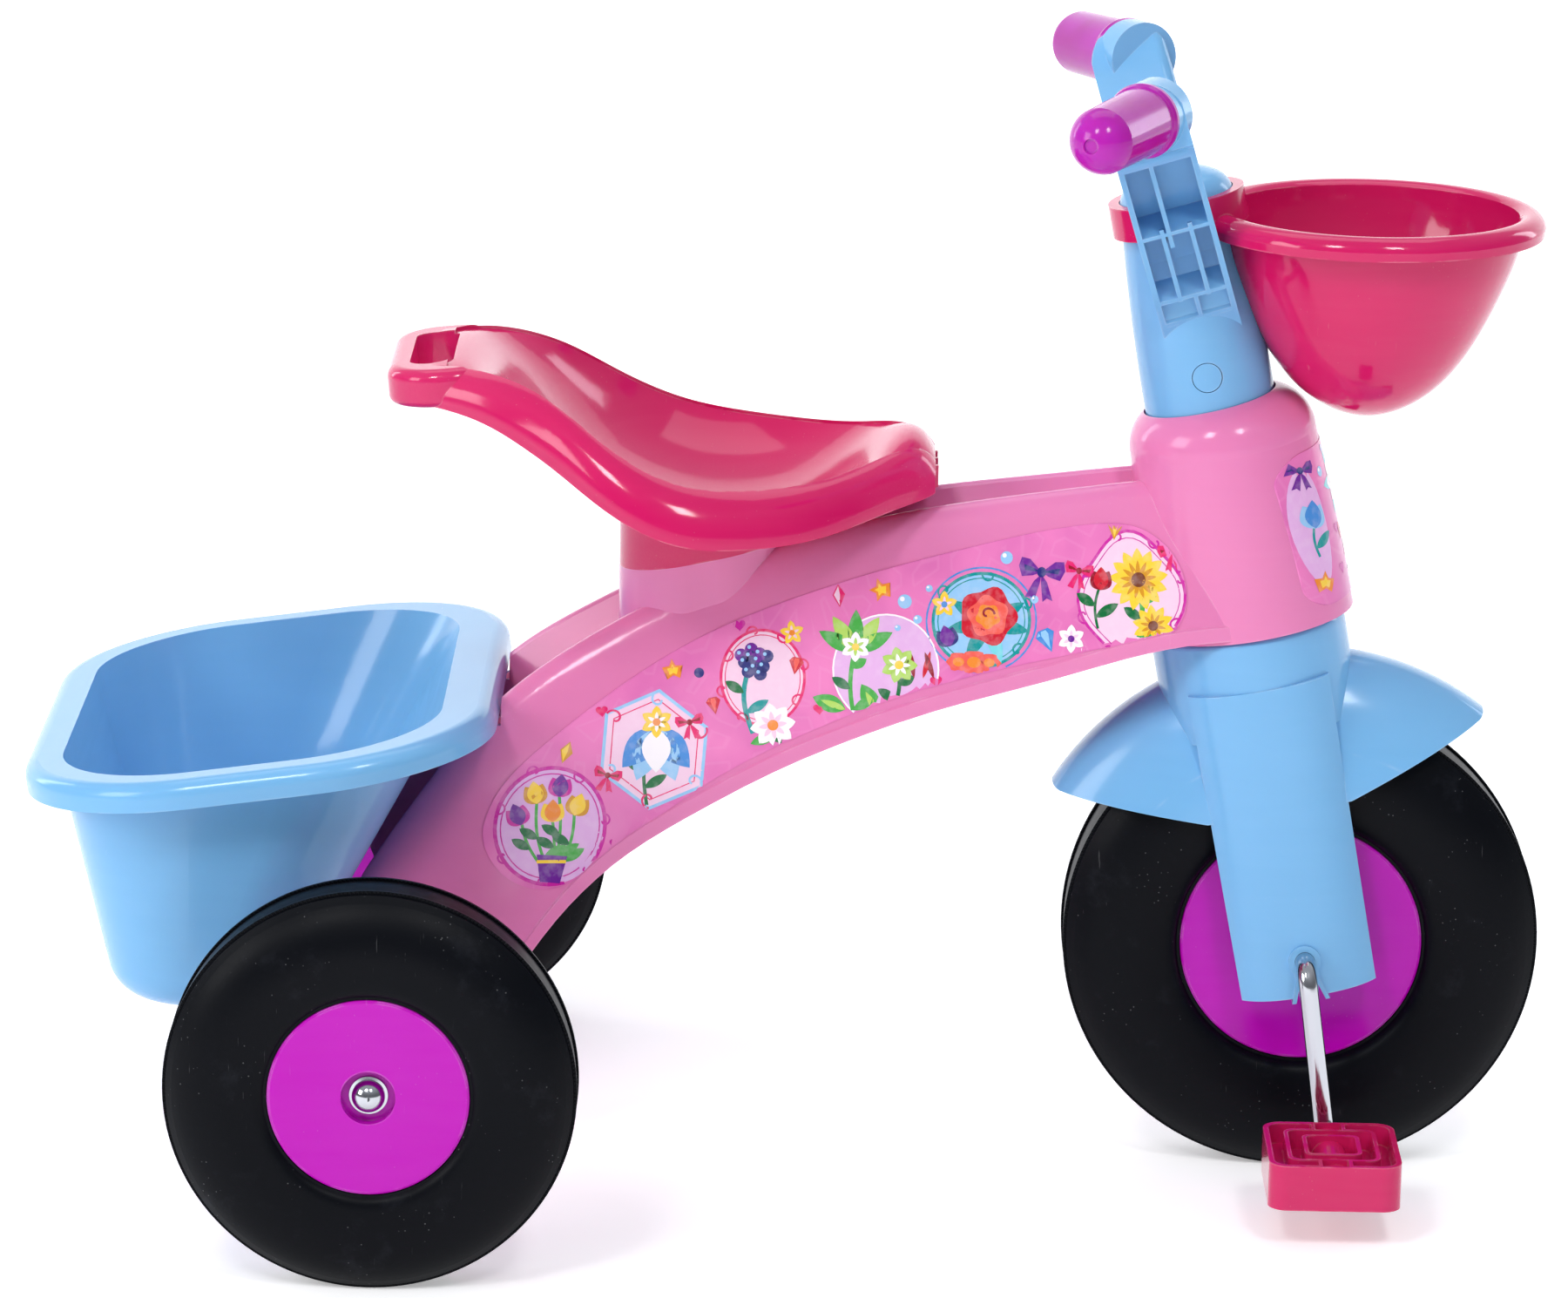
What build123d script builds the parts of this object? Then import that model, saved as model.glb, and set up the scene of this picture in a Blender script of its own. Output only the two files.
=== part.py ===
from build123d import *
import math
import os

os.makedirs("parts", exist_ok=True)

# A child's pedal tricycle. +X is forward, +Y is the rider's left, +Z is up, sizes are in mm.
# The origin is on the floor, half way along the tricycle and on its plane of symmetry.
# Side profiles are written as (distance ahead of the front axle, height above the floor).
# Steering profiles are written as (distance from the steering axis, distance above the front axle).

# ---------------------------------------------------------------- driving dimensions
LENGTH = 694.0            # rear lip of the bin to the front of the front wheel
FRONT_R = 110.0           # front tyre radius
REAR_R = 91.0             # rear tyre radius
WHEELBASE = 419.0
TRACK = 401.6             # between the middle planes of the rear wheels
RAKE = 11.0               # steering axis leans back by this angle, degrees

WALL = 3.0                # wall of the big mouldings
RUNNING = 0.08            # radial clearance of a shaft that turns in its bearing
SIDE_GAP = 0.4            # end clearance of a turning piece beside a still one

TYRE_WALL = 3.2
FRONT_TYRE_HALF = 28.0    # half of the front tyre's width
REAR_TYRE_HALF = 24.5
FRONT_BORE_R = 52.0       # seat of the wheel discs in the front tyre
REAR_BORE_R = 40.5
DISC_LIP = 4.0            # a wheel disc overlaps its seat by this much
DISC_T = 3.0
FRONT_DISC_IN = 6.3       # the front discs lie this far inside the widest line of the tyre
REAR_DISC_IN = 2.4

CRANK_ROD = 9.0           # diameter of the bent steel rod
CRANK_THROW = 81.0
CRANK_PLANE = 65.0        # middle line of the crank arm, from the plane of symmetry
CRANK_BEND = 10.0
CRANK_ANGLE = 8.0         # the right crank points down and this far forward, degrees
PEDAL_X = 60.0
PEDAL_Y = 65.0
PEDAL_Z = 21.0

REAR_ROD = 9.0            # diameter of the rear axle rod
HOUSING_R = 16.0
CAP_R = 7.3
CAP_RECESS_R = 12.0

LEG_INNER = 33.5          # inner face of a fork leg
LEG_MID_LOW = 52.0        # outermost line of a fork leg at the axle
LEG_MID_HIGH = 45.0       # and at the crown
LEG_END = 17.0            # the legs reach this far past the axle
CROWN_R = 45.0
CROWN_TOP = 151.6
STEERER_R = 19.9
STEERER_WALL = 3.4
STEERER_TOP = 300.0
FENDER_R = 136.0          # ridge of the mudguard, from the axle

HEAD_LOW = 152.0
HEAD_TOP = 259.0
STEM_LOW = 252.6
STEM_R_LOW = 30.0
STEM_R_HIGH = 26.2
BUTTON_R = 6.6
BUTTON_AT = 273.0
ARM_RAKE = 16.7           # the handlebar arms lean back by this angle, degrees
ARM_W = 35.5
GRIP_R = 15.0
GRIP_L = 61.0
GRIP_SPIGOT_R = 11.0
GRIP_SWEEP = 25.0         # the grips are swept back by this angle, degrees

BASKET_AT = 22.0          # middle of the basket ahead of the front axle
BASKET_RIM_R = 79.0
BASKET_RIM_Z = 447.0
BASKET_WALL = 2.6
COLLAR_LOW = 338.5
COLLAR_H = 15.0

BIN_X = 213.0             # rim of the bin
BIN_Y = 304.0
BIN_TILT = 8.0            # the rim rises forward by this angle, degrees
BIN_WALL = 2.8

STICKER_T = 0.3
BUTTON_TRAVEL = 4.5

# ---------------------------------------------------------------- derived positions and planes
FRONT_X = LENGTH / 2 - FRONT_R
REAR_X = FRONT_X - WHEELBASE
SIN = math.sin(math.radians(RAKE))
COS = math.cos(math.radians(RAKE))

FRONT_FACE = FRONT_TYRE_HALF - FRONT_DISC_IN
REAR_FACE = REAR_TYRE_HALF - REAR_DISC_IN

SIDE = Plane(origin=(FRONT_X, 0, 0), x_dir=(1, 0, 0), z_dir=(0, -1, 0))
STEER_SIDE = Plane(origin=(FRONT_X, 0, FRONT_R), x_dir=(COS, 0, SIN), z_dir=(0, -1, 0))
STEER_AXIS = Axis((FRONT_X, 0, FRONT_R), (-SIN, 0, COS))
FRONT_AXLE = Axis((FRONT_X, 0, FRONT_R), (0, 1, 0))
REAR_AXLE = Axis((REAR_X, 0, REAR_R), (0, 1, 0))


def steer(a, forward=0.0):
    """Plane square to the steering axis, a above the front axle."""
    x = FRONT_X - a * SIN + forward * COS
    z = FRONT_R + a * COS + forward * SIN
    return Plane(origin=(x, 0, z), x_dir=(COS, 0, SIN), z_dir=(-SIN, 0, COS))


def level(z, ahead=0.0):
    return Plane(origin=(FRONT_X + ahead, 0, z))


def wheel_plane(x, y, z):
    """Profiles of turned wheel parts: (distance to the left of y, radius)."""
    return Plane(origin=(x, y, z), x_dir=(0, 1, 0), z_dir=(1, 0, 0))


def dome_middle(radius, low, top):
    """Middle point of the arc that is centred on the axis and runs from (radius, low) to (0, top)."""
    centre = (top * top - low * low - radius * radius) / (2 * (top - low))
    half = math.asin(radius / (top - centre)) / 2
    return ((top - centre) * math.sin(half), centre + (top - centre) * math.cos(half))


def save(builder, name):
    builder.part.label = name
    export_step(builder.part, "parts/" + name + ".step")
    box = builder.part.bounding_box()
    solids = len(builder.part.solids())
    print(f"{name:20s} solids {solids}  volume {builder.part.volume / 1000:8.1f} cm3  "
          f"x {box.min.X:7.1f} {box.max.X:7.1f}  y {box.min.Y:7.1f} {box.max.Y:7.1f}  "
          f"z {box.min.Z:6.1f} {box.max.Z:6.1f}")


# ---------------------------------------------------------------- wheels
def tyre_line(radius, half, bead_r, bead_y, inset):
    """Outline of a tyre section above its bead, from right to left."""
    drop = radius - bead_r
    r = radius - inset
    side = [
        (bead_y - inset, bead_r),
        (half - 0.5 * (half - bead_y) - inset, bead_r + 0.04 * drop),
        (half - 0.13 * (half - bead_y) - inset, bead_r + 0.19 * drop),
        (half - inset, bead_r + 0.40 * drop),
        (half - 1.6 - inset, bead_r + 0.62 * drop),
        (half - 5.2 - inset * 0.9, bead_r + 0.80 * drop - inset * 0.3),
        (half - 8.6 - inset * 0.8, bead_r + 0.90 * drop - inset * 0.5),
    ]
    crown = [(half - 11.5, r - 1.6), (0, r - 0.8), (11.5 - half, r - 1.6)]
    return side, crown


def tyre_ring(x, y, radius, half, bead_r, bead_y, inset, foot):
    side, crown = tyre_line(radius, half, bead_r, bead_y, inset)
    other = [(-y, r) for y, r in reversed(side)]
    with BuildPart() as ring:
        with BuildSketch(wheel_plane(x, y, radius)):
            with BuildLine():
                Spline(*side)
                Line(side[-1], crown[0])
                ThreePointArc(*crown)
                Line(crown[-1], other[0])
                Spline(*other)
                Polyline(other[-1], (other[-1][0], foot), (side[0][0], foot), side[0])
            make_face()
        revolve(axis=Axis((x, 0, radius), (0, 1, 0)))
    return ring.part


def make_tyre(name, x, y, radius, half, bore_r, disc_in):
    axle = Axis((x, 0, radius), (0, 1, 0))
    seat_r = bore_r + DISC_LIP + 0.3
    seat_y = half - disc_in - DISC_T
    with BuildPart() as tyre:
        add(tyre_ring(x, y, radius, half, seat_r + 1.2, half - disc_in - 0.7, 0, bore_r))
        with BuildSketch(wheel_plane(x, y, radius)):
            for side in (-1, 1):
                with Locations((side * (half - 14.2), radius - 1.0)):
                    Rectangle(1.7, 2.0)
        revolve(axis=axle)
        inner = half - disc_in - 6.5
        add(tyre_ring(x, y, radius, half, seat_r + 2.4, inner, TYRE_WALL, seat_r + 1), mode=Mode.SUBTRACT)
        with BuildSketch(wheel_plane(x, y, radius)):
            with Locations((0, seat_r)):
                Rectangle(2 * (seat_y - 9.0), 14)
            for side in (-1, 1):
                with Locations((side * (seat_y + 10), bore_r)):
                    Rectangle(20, 2 * (seat_r - bore_r))
        revolve(axis=axle, mode=Mode.SUBTRACT)
    save(tyre, name)


make_tyre("front_tyre", FRONT_X, 0, FRONT_R, FRONT_TYRE_HALF, FRONT_BORE_R, FRONT_DISC_IN)
make_tyre("rear_tyre_left", REAR_X, TRACK / 2, REAR_R, REAR_TYRE_HALF, REAR_BORE_R, REAR_DISC_IN)
make_tyre("rear_tyre_right", REAR_X, -TRACK / 2, REAR_R, REAR_TYRE_HALF, REAR_BORE_R, REAR_DISC_IN)


def make_disc(name, x, y, radius, face_y, bore_r, side, hole_r, hub_r, reach, recess_r, recess_depth):
    """Half of a wheel centre, snapped into the tyre from one side."""
    axle = Axis((x, 0, radius), (0, 1, 0))
    seat_y = face_y - DISC_T
    with BuildPart() as disc:
        with BuildSketch(wheel_plane(x, y, radius)):
            with BuildLine():
                Polyline(
                    (side * face_y, hole_r), (side * face_y, bore_r + DISC_LIP - 1.2),
                    (side * (face_y - 0.5), bore_r + DISC_LIP - 0.3), (side * (face_y - 1.3), bore_r + DISC_LIP),
                    (side * seat_y, bore_r + DISC_LIP), (side * seat_y, bore_r), (side * (seat_y - 8.0), bore_r),
                    (side * (seat_y - 8.0), bore_r - 2.6), (side * seat_y, bore_r - 3.4),
                    (side * seat_y, hub_r), (side * 1.0, hub_r - 0.6), (side * 1.0, hole_r), close=True,
                )
            make_face()
        revolve(axis=axle)
        if reach > face_y:
            with BuildSketch(wheel_plane(x, y, radius)):
                with Locations((side * (face_y + reach) / 2, (hole_r + hub_r) / 2)):
                    Rectangle(reach - face_y, hub_r - hole_r)
            revolve(axis=axle)
        if recess_depth:
            with BuildSketch(wheel_plane(x, y, radius)):
                with Locations((side * (face_y - recess_depth - 1.2), (hole_r + recess_r + 2.2) / 2)):
                    Rectangle(2.4, recess_r + 2.2 - hole_r)
                with Locations((side * (face_y - recess_depth / 2 - 0.6), recess_r + 1.1)):
                    Rectangle(recess_depth + 1.0, 2.2)
            revolve(axis=axle)
            with BuildSketch(wheel_plane(x, y, radius)):
                with Locations((side * (face_y - recess_depth / 2 + 1), recess_r / 2)):
                    Rectangle(recess_depth + 2, recess_r)
            revolve(axis=axle, mode=Mode.SUBTRACT)
    save(disc, name)


for side, tail in ((1, "left"), (-1, "right")):
    make_disc("front_disc_" + tail, FRONT_X, 0, FRONT_R, FRONT_FACE, FRONT_BORE_R, side,
              CRANK_ROD / 2, 11.0, LEG_INNER - SIDE_GAP, 0, 0)
    make_disc("rear_disc_outer_" + tail, REAR_X, side * TRACK / 2, REAR_R, REAR_FACE, REAR_BORE_R, side,
              REAR_ROD / 2 + RUNNING, 9.0, 0, CAP_RECESS_R, 5.5)
    make_disc("rear_disc_inner_" + tail, REAR_X, side * TRACK / 2, REAR_R, REAR_FACE, REAR_BORE_R, -side,
              REAR_ROD / 2 + RUNNING, 9.0, REAR_TYRE_HALF + 3.0, 0, 0)

# ---------------------------------------------------------------- rear axle, spacers and end caps
DISC_FACE_Y = TRACK / 2 + REAR_FACE
CAP_SEAT_Y = DISC_FACE_Y - 5.5 + SIDE_GAP
HOUSING_END = TRACK / 2 - REAR_TYRE_HALF - 3.0 - 2 * SIDE_GAP - 1.6

with BuildPart() as rear_axle:
    with BuildSketch(wheel_plane(REAR_X, 0, REAR_R)):
        with Locations((0, REAR_ROD / 4)):
            Rectangle(2 * (CAP_SEAT_Y + 4.5), REAR_ROD / 2)
    revolve(axis=REAR_AXLE)
save(rear_axle, "rear_axle")

with BuildPart() as rear_spacers:
    for side in (1, -1):
        with BuildSketch(wheel_plane(REAR_X, side * (HOUSING_END + SIDE_GAP + 0.8), REAR_R)):
            with Locations((0, (REAR_ROD / 2 + 10.0) / 2)):
                Rectangle(1.6, 10.0 - REAR_ROD / 2)
        revolve(axis=REAR_AXLE)
save(rear_spacers, "rear_spacers")

with BuildPart() as axle_caps:
    for side in (1, -1):
        with BuildSketch(wheel_plane(REAR_X, side * CAP_SEAT_Y, REAR_R)):
            with BuildLine():
                Polyline((0, REAR_ROD / 2), (0, CAP_R + 1.2), (side * 0.8, CAP_R + 1.2), (side * 1.0, CAP_R),
                         (side * 2.4, CAP_R))
                across, along = dome_middle(CAP_R, 2.4, 8.2)
                ThreePointArc((side * 2.4, CAP_R), (side * along, across), (side * 8.2, 0))
                Polyline((side * 8.2, 0), (side * 4.5, 0), (side * 4.5, REAR_ROD / 2), (0, REAR_ROD / 2))
            make_face()
        revolve(axis=REAR_AXLE)
save(axle_caps, "axle_caps")

# ---------------------------------------------------------------- crank rod and pedals
CRANK_DX = CRANK_THROW * math.sin(math.radians(CRANK_ANGLE))
CRANK_DZ = CRANK_THROW * math.cos(math.radians(CRANK_ANGLE))
PEDAL_START = CRANK_PLANE + CRANK_BEND + 0.3
PEDAL_MID = PEDAL_START + PEDAL_Y / 2
PIN_END = PEDAL_START + PEDAL_Y - 6.0

with BuildPart() as crank_rod:
    with BuildLine():
        FilletPolyline(
            (FRONT_X + CRANK_DX, -PIN_END, FRONT_R - CRANK_DZ),
            (FRONT_X + CRANK_DX, -CRANK_PLANE, FRONT_R - CRANK_DZ),
            (FRONT_X, -CRANK_PLANE, FRONT_R),
            (FRONT_X, CRANK_PLANE, FRONT_R),
            (FRONT_X - CRANK_DX, CRANK_PLANE, FRONT_R + CRANK_DZ),
            (FRONT_X - CRANK_DX, PIN_END, FRONT_R + CRANK_DZ),
            radius=CRANK_BEND,
        )
    with BuildSketch(Plane(origin=(FRONT_X + CRANK_DX, -PIN_END, FRONT_R - CRANK_DZ), z_dir=(0, 1, 0))):
        Circle(CRANK_ROD / 2)
    sweep()
save(crank_rod, "crank_rod")


def make_pedal(name, x, side, z):
    mid_y = side * PEDAL_MID
    with BuildPart() as pedal:
        with BuildSketch(Plane(origin=(x, mid_y, z - PEDAL_Z / 2))):
            RectangleRounded(PEDAL_X, PEDAL_Y, 9.0)
            RectangleRounded(PEDAL_X - 5.2, PEDAL_Y - 5.2, 6.8, mode=Mode.SUBTRACT)
            RectangleRounded(PEDAL_X - 18.0, PEDAL_Y - 19.0, 6.0)
            RectangleRounded(PEDAL_X - 22.0, PEDAL_Y - 23.0, 4.4, mode=Mode.SUBTRACT)
            RectangleRounded(PEDAL_X - 34.0, PEDAL_Y - 36.0, 4.0)
            RectangleRounded(PEDAL_X - 38.0, PEDAL_Y - 40.0, 2.4, mode=Mode.SUBTRACT)
            for end in (-1, 1):
                with Locations((0, end * (PEDAL_Y / 2 - 6.0))):
                    Rectangle(15.5, 9.0)
                    Rectangle(11.9, 9.4, mode=Mode.SUBTRACT)
        extrude(amount=PEDAL_Z)
        with BuildSketch(Plane(origin=(x, mid_y, z - 1.2))):
            RectangleRounded(PEDAL_X - 1.0, PEDAL_Y - 1.0, 8.0)
        extrude(amount=2.4)
        with BuildSketch(Plane(origin=(x, mid_y, z), z_dir=(0, 1, 0))):
            Circle(8.2)
        extrude(amount=PEDAL_Y / 2 - 1.0, both=True)
        with BuildSketch(Plane(origin=(x, side * (CRANK_PLANE - 2.0), z), z_dir=(0, side, 0))):
            Circle(CRANK_ROD / 2 + RUNNING)
        extrude(amount=PIN_END + 0.6 - CRANK_PLANE + 2.0, mode=Mode.SUBTRACT)
    save(pedal, name)


make_pedal("pedal_right", FRONT_X + CRANK_DX, -1, FRONT_R - CRANK_DZ)
make_pedal("pedal_left", FRONT_X - CRANK_DX, 1, FRONT_R + CRANK_DZ)

# ---------------------------------------------------------------- fork with steerer, crown, legs and mudguard
def fender_body(inset, grow):
    """Turned roof over the front tyre, cut to its two leaf shaped lobes."""
    r = FENDER_R - inset
    half = [(0, r), (8.5, r - 1.2), (19.0 - 0.4 * inset, r - 9.5), (28.0 - 0.7 * inset, r - 24.0),
            (34.0 - 0.9 * inset, 95.0 - 0.4 * inset), (37.5 - inset, 74.0 - 0.2 * inset), (38.0 - inset, 60.0)]
    with BuildPart() as roof:
        with BuildSketch(wheel_plane(FRONT_X, 0, FRONT_R)):
            with BuildLine():
                Spline(*[(-y, q) for y, q in reversed(half)], *half[1:])
                Polyline(half[-1], (half[-1][0], 40.0), (-half[-1][0], 40.0), (-half[-1][0], 60.0))
            make_face()
        revolve(axis=FRONT_AXLE)
        with BuildSketch(STEER_SIDE):
            with BuildLine():
                Polyline((0, 66.5 - grow), (33.5, 67.5 - grow), (97.0 + grow, 88.5 - grow))
                ThreePointArc((97.0 + grow, 88.5 - grow), (101.5 + grow, 92.5), (99.0 + grow, 99.0))
                Polyline((99.0 + grow, 99.0), (99.0 + grow, 145.0), (-99.0 - grow, 145.0), (-99.0 - grow, 99.0))
                ThreePointArc((-99.0 - grow, 99.0), (-101.5 - grow, 92.5), (-97.0 - grow, 88.5 - grow))
                Polyline((-97.0 - grow, 88.5 - grow), (-33.5, 67.5 - grow), (0, 66.5 - grow))
            make_face()
        extrude(amount=60, both=True, mode=Mode.INTERSECT)
    return roof.part


def leg_body(side, wall, low, high):
    """One fork leg: a D section that grows a little towards the crown."""
    with BuildPart() as leg:
        for a, half, edge, middle in (
            (low, 31.2 - wall, 40.5 - wall, LEG_MID_LOW - wall),
            (high, 32.5 - wall, 33.5 - wall, LEG_MID_HIGH + 0.4 - wall),
        ):
            foot = 20.0 if wall == 0 else 10.0
            with BuildSketch(steer(a)):
                with BuildLine():
                    Polyline((-half, side * edge), (-half, side * foot), (half, side * foot), (half, side * edge))
                    Spline((half, side * edge), (half * 0.72, side * (edge + (middle - edge) * 0.62)),
                           (0, side * middle), (-half * 0.72, side * (edge + (middle - edge) * 0.62)),
                           (-half, side * edge))
                make_face()
        loft(ruled=True)
    return leg.part


def clip_outline(grow):
    with BuildPart() as clip:
        with BuildSketch(STEER_SIDE):
            Circle(7.4 - grow)
            with BuildLine():
                Polyline((-5.4 + grow, 0), (5.4 - grow, 0), (5.2 - grow, -9.0), (8.8 - grow, -19.2),
                         (-8.8 + grow, -19.2), (-5.2 + grow, -9.0), close=True)
            make_face()
        extrude(amount=LEG_MID_LOW + 0.6, both=True)
    return clip.part


fender_outer = fender_body(0, 0)
fender_inner = fender_body(WALL - 0.4, 12.0)
leg_shells = {side: leg_body(side, 0, -LEG_END, 128.0) for side in (1, -1)}
leg_hollows = {side: leg_body(side, WALL, -LEG_END + WALL, 122.0) for side in (1, -1)}
clip_solid = clip_outline(0)

with BuildPart() as clip_hollow:
    with BuildSketch(STEER_SIDE):
        Circle(CRANK_ROD / 2 + RUNNING)
        with BuildLine():
            Polyline((-3.4, -2.0), (3.4, -2.0), (3.3, -8.6), (6.9, -19.4), (-6.9, -19.4), (-3.3, -8.6), close=True)
        make_face()
    extrude(amount=LEG_MID_LOW + 2.0, both=True)

# the space the front wheel turns in
with BuildPart() as wheel_room:
    with BuildSketch(wheel_plane(FRONT_X, 0, FRONT_R)):
        with BuildLine():
            Polyline((-LEG_INNER, 0), (LEG_INNER, 0), (LEG_INNER, 96.0), (26.0, 112.0), (16.0, 126.0), (7.0, 132.4),
                     (-7.0, 132.4), (-16.0, 126.0), (-26.0, 112.0), (-LEG_INNER, 96.0), close=True)
        make_face()
    revolve(axis=FRONT_AXLE)

with BuildPart() as fork:
    add(fender_outer)
    add(fender_inner, mode=Mode.SUBTRACT)
    with BuildSketch(steer(104.0)):
        Circle(CROWN_R)
    extrude(amount=CROWN_TOP - 104.0)
    crown_rim = fork.edges().filter_by(GeomType.CIRCLE).sort_by(STEER_AXIS)[-1]
    fillet(crown_rim, 2.5)
    for side in (1, -1):
        add(leg_shells[side])
    with BuildSketch(steer(110.0)):
        Circle(CROWN_R - WALL)
    extrude(amount=CROWN_TOP - WALL - 110.0, mode=Mode.SUBTRACT)
    for side in (1, -1):
        add(leg_hollows[side], mode=Mode.SUBTRACT)
    # stiffening inside the legs and the bearing blocks of the axle
    for side in (1, -1):
        with BuildSketch(Plane(origin=(FRONT_X, side * LEG_INNER, FRONT_R), x_dir=(COS, 0, SIN), z_dir=(0, -side, 0))):
            Circle(13.0)
        bearing_block = extrude(amount=-40.0, mode=Mode.PRIVATE)
        add(bearing_block & leg_shells[side])
        for a in (30.0, 60.0, 90.0):
            with BuildSketch(steer(a)):
                with Locations((0, side * 44.0)):
                    Rectangle(70.0, 40.0)
            add(extrude(amount=2.0, mode=Mode.PRIVATE) & leg_shells[side])
        with BuildSketch(steer(-LEG_END)):
            with Locations((0, side * 44.0)):
                Rectangle(2.2, 40.0)
        add(extrude(amount=LEG_END + 120.0, mode=Mode.PRIVATE) & leg_shells[side])
    # steerer tube and the ribs that carry it
    with BuildSketch(steer(124.0)):
        Circle(STEERER_R)
        for angle in (0, 45, 90, 135):
            Rectangle(2 * CROWN_R - 1.0, 2.4, rotation=angle)
    extrude(amount=CROWN_TOP - 1.0 - 124.0)
    with BuildSketch(steer(CROWN_TOP - 2.0)):
        Circle(STEERER_R)
    extrude(amount=STEERER_TOP - CROWN_TOP + 2.0)
    with BuildSketch(steer(100.0)):
        Circle(STEERER_R - STEERER_WALL)
    extrude(amount=STEERER_TOP - 90.0, mode=Mode.SUBTRACT)
    add(wheel_room.part, mode=Mode.SUBTRACT)
    add(clip_solid, mode=Mode.SUBTRACT)
    # holes of the two lock buttons
    with BuildSketch(Plane(origin=steer(BUTTON_AT).origin, z_dir=(0, 1, 0))):
        Circle(BUTTON_R + 0.3)
    extrude(amount=STEERER_R + 2.0, both=True, mode=Mode.SUBTRACT)
save(fork, "fork")

for side, tail in ((1, "left"), (-1, "right")):
    with BuildPart() as axle_clip:
        add(clip_solid)
        add(clip_hollow.part, mode=Mode.SUBTRACT)
        with BuildSketch(Plane(origin=(FRONT_X, side * LEG_INNER, FRONT_R), z_dir=(0, -side, 0))):
            Rectangle(80, 80)
        extrude(amount=200, mode=Mode.SUBTRACT)
    save(axle_clip, "axle_clip_" + tail)

# ---------------------------------------------------------------- handlebar: stem and two channel arms
def stem_outline(grow):
    """Right half of the stem, turned about the steering axis."""
    return [
        (STEM_R_LOW + grow, STEM_LOW), (STEM_R_LOW + grow - 0.4, 290.0), (28.0 + grow, 325.0),
        (STEM_R_HIGH + grow, 348.0),
    ]


def stem_body(grow, top, floor):
    side = stem_outline(grow)
    with BuildPart() as stem:
        with BuildSketch(STEER_SIDE):
            with BuildLine():
                Line((0, floor), (side[0][0], floor))
                if floor < side[0][1]:
                    Line((side[0][0], floor), side[0])
                Spline(*side)
                shoulder = (side[-1][0] * 0.74, top - 5.0)
                ThreePointArc(side[-1], (side[-1][0] * 0.935, top - 10.0), shoulder)
                ThreePointArc(shoulder, dome_middle(shoulder[0], shoulder[1], top), (0, top))
                Line((0, top), (0, floor))
            make_face()
        revolve(axis=STEER_AXIS)
    return stem.part


ARM_SIN = math.sin(math.radians(ARM_RAKE))
ARM_COS = math.cos(math.radians(ARM_RAKE))
arm_foot = steer(STEERER_TOP, 1.0).origin
# front view of the arms: (distance to the left, distance up along the arms)
ARM_VIEW = Plane(origin=arm_foot, x_dir=(0, 1, 0), z_dir=(ARM_COS, 0, ARM_SIN))
# side view of the arms: (distance ahead, distance up along the arms)
ARM_SIDE = Plane(origin=arm_foot, x_dir=(ARM_COS, 0, ARM_SIN), z_dir=(0, -1, 0))
ARM_HEAD = 103.5
ARM_ROUND = 5.0
ARM_TOP_LINE = [(18.0, 12.0), (34.0, 34.5), (46.5, 62.0), (60.0, 88.0), (73.0, 110.0), (90.0, 122.0)]
ARM_LOW_LINE = [(20.0, -13.0), (26.5, -2.5), (39.0, 14.0), (52.5, 39.0), (66.0, 64.5), (78.0, 83.0), (90.0, 89.5)]
GRIP_DIR = (-math.sin(math.radians(GRIP_SWEEP)), math.cos(math.radians(GRIP_SWEEP)), -0.04)
GRIP_ROOT = ARM_VIEW.from_local_coords(Vector(88.0, 105.5, 0))


def mirrored_pair(part):
    return {1: part, -1: part.mirror(Plane.XZ)}


with BuildPart() as arm_solid:
    with BuildSketch(ARM_VIEW):
        with BuildLine():
            Spline(*ARM_TOP_LINE)
            Line(ARM_TOP_LINE[-1], ARM_LOW_LINE[-1])
            Spline(*reversed(ARM_LOW_LINE))
            Line(ARM_LOW_LINE[0], ARM_TOP_LINE[0])
        make_face()
    extrude(amount=ARM_W / 2, both=True)
    # the long edges of the upper wall are rounded, and so is the head that the grip stands on
    upper = arm_solid.edges().filter_by(GeomType.BSPLINE).group_by(lambda e: e.length)[-1]
    fillet(upper.sort_by(lambda e: -e.center().Z)[:2], ARM_ROUND)
    with BuildSketch(ARM_SIDE):
        with Locations((0, ARM_HEAD + 25.0)):
            Rectangle(80.0, 50.0)
        with Locations((0, ARM_HEAD)):
            Circle(ARM_W / 2 + 0.65, mode=Mode.SUBTRACT)
    extrude(amount=-120.0, mode=Mode.SUBTRACT)

with BuildPart() as arm_channel:
    with BuildSketch(ARM_VIEW):
        inner_line = [(y + 1.6, s - 3.0) for y, s in ARM_TOP_LINE[1:5]]
        outer_line = [(y, s - 6.0) for y, s in ARM_LOW_LINE[1:6]]
        with BuildLine():
            Spline(*inner_line)
            Line(inner_line[-1], outer_line[-1])
            Spline(*reversed(outer_line))
            Line(outer_line[0], inner_line[0])
        make_face()
    extrude(amount=ARM_W / 2 - 2.6, both=True)

# ribs that stay in the channel: plates across it and plates along it
with BuildPart() as arm_ribs:
    for foot, top in (((33.5, -8.0), (20.0, 22.0)), ((42.0, 8.0), (26.0, 34.0)), ((63.0, 42.0), (38.0, 62.0))):
        with BuildSketch(ARM_VIEW):
            with BuildLine():
                Line(foot, top)
            trace(line_width=2.0)
        extrude(amount=ARM_W / 2, both=True)
    for low, high, across in ((40.0, 125.0, (-3.0,)), (12.0, 50.0, (-6.0, 7.0)), (-12.0, 14.0, (1.0,))):
        for offset_x in across:
            with BuildSketch(ARM_VIEW.offset(offset_x - 1.0)):
                with Locations((55.0, (low + high) / 2)):
                    Rectangle(110.0, high - low, rotation=0)
            extrude(amount=2.0)

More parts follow.
